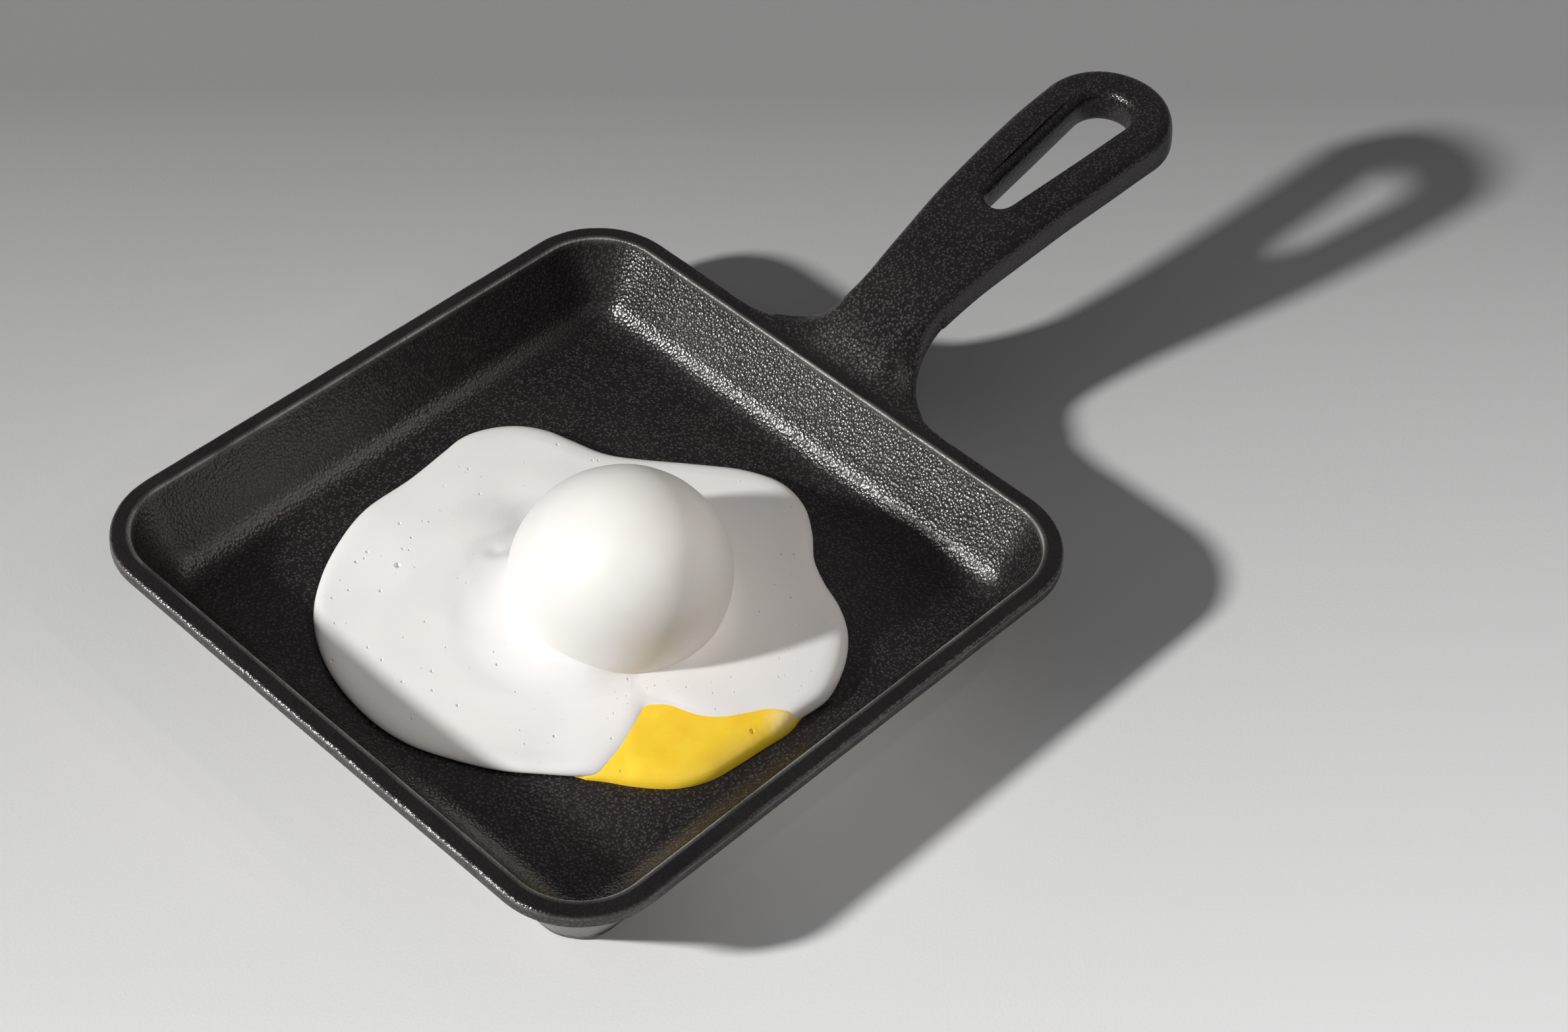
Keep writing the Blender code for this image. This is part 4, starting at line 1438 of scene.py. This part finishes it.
set_white = make_set_white()
white_height = surface_height(poured_white)
pits = pits_at_pixels(WHITE_PITS, white_height, WHITE_TOP)
pits += sown_pits(SOWN_PITS, SOWN_SEED, white_height)
pitted_white = cut_pits(poured_white, pits, set_white)
add_piece("poured_white", pitted_white, set_white, "egg_white")
print("white has", len(pits), "pits")

# %% [markdown]
# ## The whole egg
#
# The egg stands in the white with its blunt half up. A cube whose faces are pushed out to
# a ball gives even faces with no pole, and a plane cuts it flat inside the white. Its shell
# is a touch uneven, finely pored, and creamier towards the bottom.

# %% Egg
EGG_CUTS = 69
EGG_WAVE = (7 * MM, 0.07 * MM)
EGG_FOOT = POUR_Z + 0.9 * MM
SHELL_PALE = (0.755, 0.740, 0.722, 1)
SHELL_WARM = (0.742, 0.722, 0.692, 1)
SHELL_CREAM = (0.80, 0.70, 0.54, 1)
CREAM_FROM_Z = 13.0 * MM
CREAM_TO_Z = 6.5 * MM


def egg_mesh():
    build = bmesh.new()
    bmesh.ops.create_cube(build, size=2.0)
    bmesh.ops.subdivide_edges(build, edges=build.edges[:], cuts=EGG_CUTS, use_grid_fill=True)
    for v in build.verts:
        v.co = Vector([math.tan(c * math.pi / 4) for c in v.co]).normalized()
    stretch = Matrix.Diagonal((EGG_HALF_WIDTH, EGG_HALF_WIDTH, EGG_HALF_LENGTH))
    place = (egg_frame() @ stretch).to_4x4()
    place.translation = EGG_CENTRE
    size, height = EGG_WAVE
    for v in build.verts:
        outward = v.co.copy()
        v.co = place @ v.co
        v.co += outward * height * (noise.noise(v.co / size) - 0.5)
    cut = bmesh.ops.bisect_plane(
        build,
        geom=build.verts[:] + build.edges[:] + build.faces[:],
        plane_co=(0, 0, EGG_FOOT),
        plane_no=(0, 0, 1),
        clear_inner=True,
    )
    rim = [item for item in cut["geom_cut"] if isinstance(item, bmesh.types.BMEdge)]
    bmesh.ops.contextual_create(build, geom=rim)
    mesh = bpy.data.meshes.new("egg")
    build.to_mesh(mesh)
    build.free()
    tidy(mesh)
    return mesh


def make_eggshell():
    material, tree, shader, place = new_material("eggshell", Roughness=0.5)
    shader.inputs["Specular IOR Level"].default_value = 0.35
    tone = place_group(tree, SLOW_TONE, {
        "Vector": place, "Patch Size": 6 * MM,
        "Low Colour": SHELL_WARM, "High Colour": SHELL_PALE,
    })
    parts = node(tree, "ShaderNodeSeparateXYZ", {"Vector": place})
    drift = calculate(tree, "MULTIPLY", tone["Share"], 2.5 * MM)
    level = calculate(tree, "ADD", parts.outputs["Z"], drift)
    low_down = remap(tree, level, CREAM_FROM_Z, CREAM_TO_Z, 0.0, 0.6)
    colour = mix_colours(tree, low_down, tone["Colour"], SHELL_CREAM)
    tree.links.new(colour, shader.inputs["Base Color"])
    grain = place_group(tree, FINE_GRAIN, {
        "Vector": place, "Grain Size": 0.6 * MM, "Pebbles": 0.3,
    })
    add_bump(tree, shader, grain["Height"], 0.016 * MM)
    return material


add_piece("standing_egg", egg_mesh(), make_eggshell(), "whole_egg")

# %% [markdown]
# ## The yolk pool
#
# The yolk ran out beside the white. It lies almost level with it, under the white's rounded
# lobe on one side, and falls to the iron over a broad, crumbly slope on the other. A band
# between the two outlines makes it, with its relief added as a height.

# %% Yolk
YOLK_DIRECTIONS = 190
YOLK_TOP_STEPS = 26
YOLK_SLOPE_STEPS = 22
YOLK_UNDER_WHITE = 2.4 * MM
YOLK_LEAST_WIDTH = 0.9 * MM
YOLK_END_SHARE = 0.18
YOLK_END_WIDTHS = (0.26, 0.13)
YOLK_RUN_OUT = (math.radians(4.5), math.radians(6.0))
YOLK_RUN_OUT_INSET = 0.5 * MM
# Inset from the outline and share of the depth, down the outer slope.
YOLK_SLOPE = (
    (5.2, 1.0), (4.2, 0.975), (3.2, 0.90), (2.3, 0.79), (1.5, 0.66), (0.8, 0.50),
    (0.35, 0.33), (0.08, 0.15), (0.0, 0.0),
)
YOLK_WAVE = (6 * MM, 0.10 * MM)
YOLK_GRIT = (0.9 * MM, 0.07 * MM)
YOLK_PITS = (((1141, 1110), 0.42), ((1158, 1128), 0.26), ((942, 1171), 0.24))
# The slope is gritty, and its colour is darkened as painted shade, only towards the handle, between
# these places along X.
YOLK_GRIT_AND_SHADE_X = (-12.0 * MM, -3.0 * MM)


def direction_of(point):
    return math.atan2(point[1] * MM - EGG_CENTRE.y, point[0] * MM - EGG_CENTRE.x)


def yolk_mesh():
    first = direction_of(YOLK_OUTLINE[0])
    last = direction_of(YOLK_OUTLINE[-1])
    angles = np.linspace(first - YOLK_RUN_OUT[0], last + YOLK_RUN_OUT[1], YOLK_DIRECTIONS)
    way = np.linspace(0, 1, YOLK_DIRECTIONS)
    from_end = np.minimum(way / YOLK_END_WIDTHS[0], (1 - way) / YOLK_END_WIDTHS[1])
    share = YOLK_END_SHARE + (1 - YOLK_END_SHARE) * np.sin(np.clip(from_end, 0, 1) * math.pi / 2)
    # The pool stays below the white's top, also where that slopes down.
    depth = (YOLK_TOP - POUR_Z - long_slope(angles)) * share
    inner = white_outline.inset(angles, YOLK_UNDER_WHITE)
    # Past its outline the pool runs out under the white's edge, so its ends don't show.
    past = np.maximum((first - angles) / YOLK_RUN_OUT[0], (angles - last) / YOLK_RUN_OUT[1])
    past = np.clip(past, 0, 1) ** 0.8
    own = yolk_outline.reach(np.clip(angles, first, last))
    outer = own + past * (white_outline.inset(angles, YOLK_RUN_OUT_INSET) - own)
    outer = np.maximum(outer, inner + YOLK_LEAST_WIDTH)
    insets, shares = np.array(YOLK_SLOPE).T
    knots = np.linspace(0, len(YOLK_SLOPE) - 1, YOLK_SLOPE_STEPS)
    insets = np.interp(knots, np.arange(len(YOLK_SLOPE)), insets) * MM
    shares = np.interp(knots, np.arange(len(YOLK_SLOPE)), shares)
    squeeze = np.minimum(1.0, 0.6 * (outer - inner) / insets[0])
    crest = outer - insets[0] * squeeze
    strips = [around(inner, angles, np.full_like(angles, POUR_Z))]
    for step in np.linspace(0, 1, YOLK_TOP_STEPS):
        strips.append(around(inner + step * (crest - inner), angles, POUR_Z + depth))
    for inset, part in zip(insets[1:], shares[1:]):
        strips.append(around(outer - inset * squeeze, angles, POUR_Z + part * depth))
    rings = np.swapaxes(np.array(strips), 0, 1)
    flat = rings.reshape(-1, 3)
    size, height = YOLK_WAVE
    relief = height * noise_at(flat, size)
    lifted = np.clip((flat[:, 2] - POUR_Z) / (1.5 * MM), 0, 1)
    steps = np.arange(rings.shape[1])
    on_slope = np.clip((steps - YOLK_TOP_STEPS) / 8, 0, 1)
    size, height = YOLK_GRIT
    grit = height * (noise_at(flat, size) + 0.5 * noise_at(flat, size / 2.1))
    on_side = np.clip((flat[:, 0] - YOLK_GRIT_AND_SHADE_X[0]) / (YOLK_GRIT_AND_SHADE_X[1] - YOLK_GRIT_AND_SHADE_X[0]), 0, 1)
    relief += grit * np.tile(on_slope, rings.shape[0]) * on_side
    flat[:, 2] += relief * lifted
    return skin("yolk", flat.reshape(rings.shape))


poured_yolk = yolk_mesh()
tidy(poured_yolk)
print("yolk has", len(poured_yolk.polygons), "faces before its pits")

# %% [markdown]
# ## The yolk's finish
#
# Set yolk is a warm yellow with a satin skin. On its crumbly slope towards the handle, which
# faces away from the lamp, its colour is darkened as painted shade, and it is pale at the end
# where the white has mixed with it. Its few pits are cut with the same node tree as the white's.

# %% Yolk material and pits
YOLK_DEEP = (0.91, 0.57, 0.022, 1)
YOLK_PALE = (0.94, 0.66, 0.040, 1)
# Painted shade for the slope that faces away from the lamp.
YOLK_SLOPE_SHADE = (0.84, 0.60, 0.010, 1)
YOLK_CREAM = (0.90, 0.70, 0.30, 1)
YOLK_CREAM_AT = ((1200, 1092), 1.0 * MM, 5.5 * MM)


def make_yolk_material():
    material, tree, shader, place = new_material("set_yolk", Roughness=0.45)
    tone = place_group(tree, SLOW_TONE, {
        "Vector": place, "Patch Size": 7 * MM,
        "Low Colour": YOLK_DEEP, "High Colour": YOLK_PALE,
    })
    parts = node(tree, "ShaderNodeSeparateXYZ", {"Vector": place})
    drift = calculate(tree, "MULTIPLY", tone["Share"], 0.8 * MM)
    level = calculate(tree, "ADD", parts.outputs["Z"], drift)
    # Painted shade: low on the slope towards the handle, which faces away from the lamp, the colour
    # is darkened.
    low_down = remap(tree, level, YOLK_TOP - 0.3 * MM, YOLK_TOP - 2.2 * MM, 0.0, 0.85)
    on_side = remap(tree, parts.outputs["X"], *YOLK_GRIT_AND_SHADE_X)
    slope_shade = calculate(tree, "MULTIPLY", low_down, on_side)
    pixel, near, far = YOLK_CREAM_AT
    apart = node(
        tree, "ShaderNodeVectorMath", {0: place, 1: seen_at(pixel, YOLK_TOP)},
        operation="DISTANCE",
    )
    by_the_end = remap(tree, apart.outputs["Value"], far, near, 0.0, 0.8)
    paled = mix_colours(tree, by_the_end, tone["Colour"], YOLK_CREAM)
    tree.links.new(mix_colours(tree, slope_shade, paled, YOLK_SLOPE_SHADE), shader.inputs["Base Color"])
    grain = place_group(tree, FINE_GRAIN, {
        "Vector": place, "Grain Size": 0.5 * MM, "Pebbles": 0.4,
    })
    add_bump(tree, shader, grain["Height"], 0.02 * MM)
    return material


yolk_finish = make_yolk_material()
yolk_height = surface_height(poured_yolk)
pitted_yolk = cut_pits(
    poured_yolk, pits_at_pixels(YOLK_PITS, yolk_height, YOLK_TOP), yolk_finish
)
add_piece("yolk", pitted_yolk, yolk_finish, "yolk_pool")
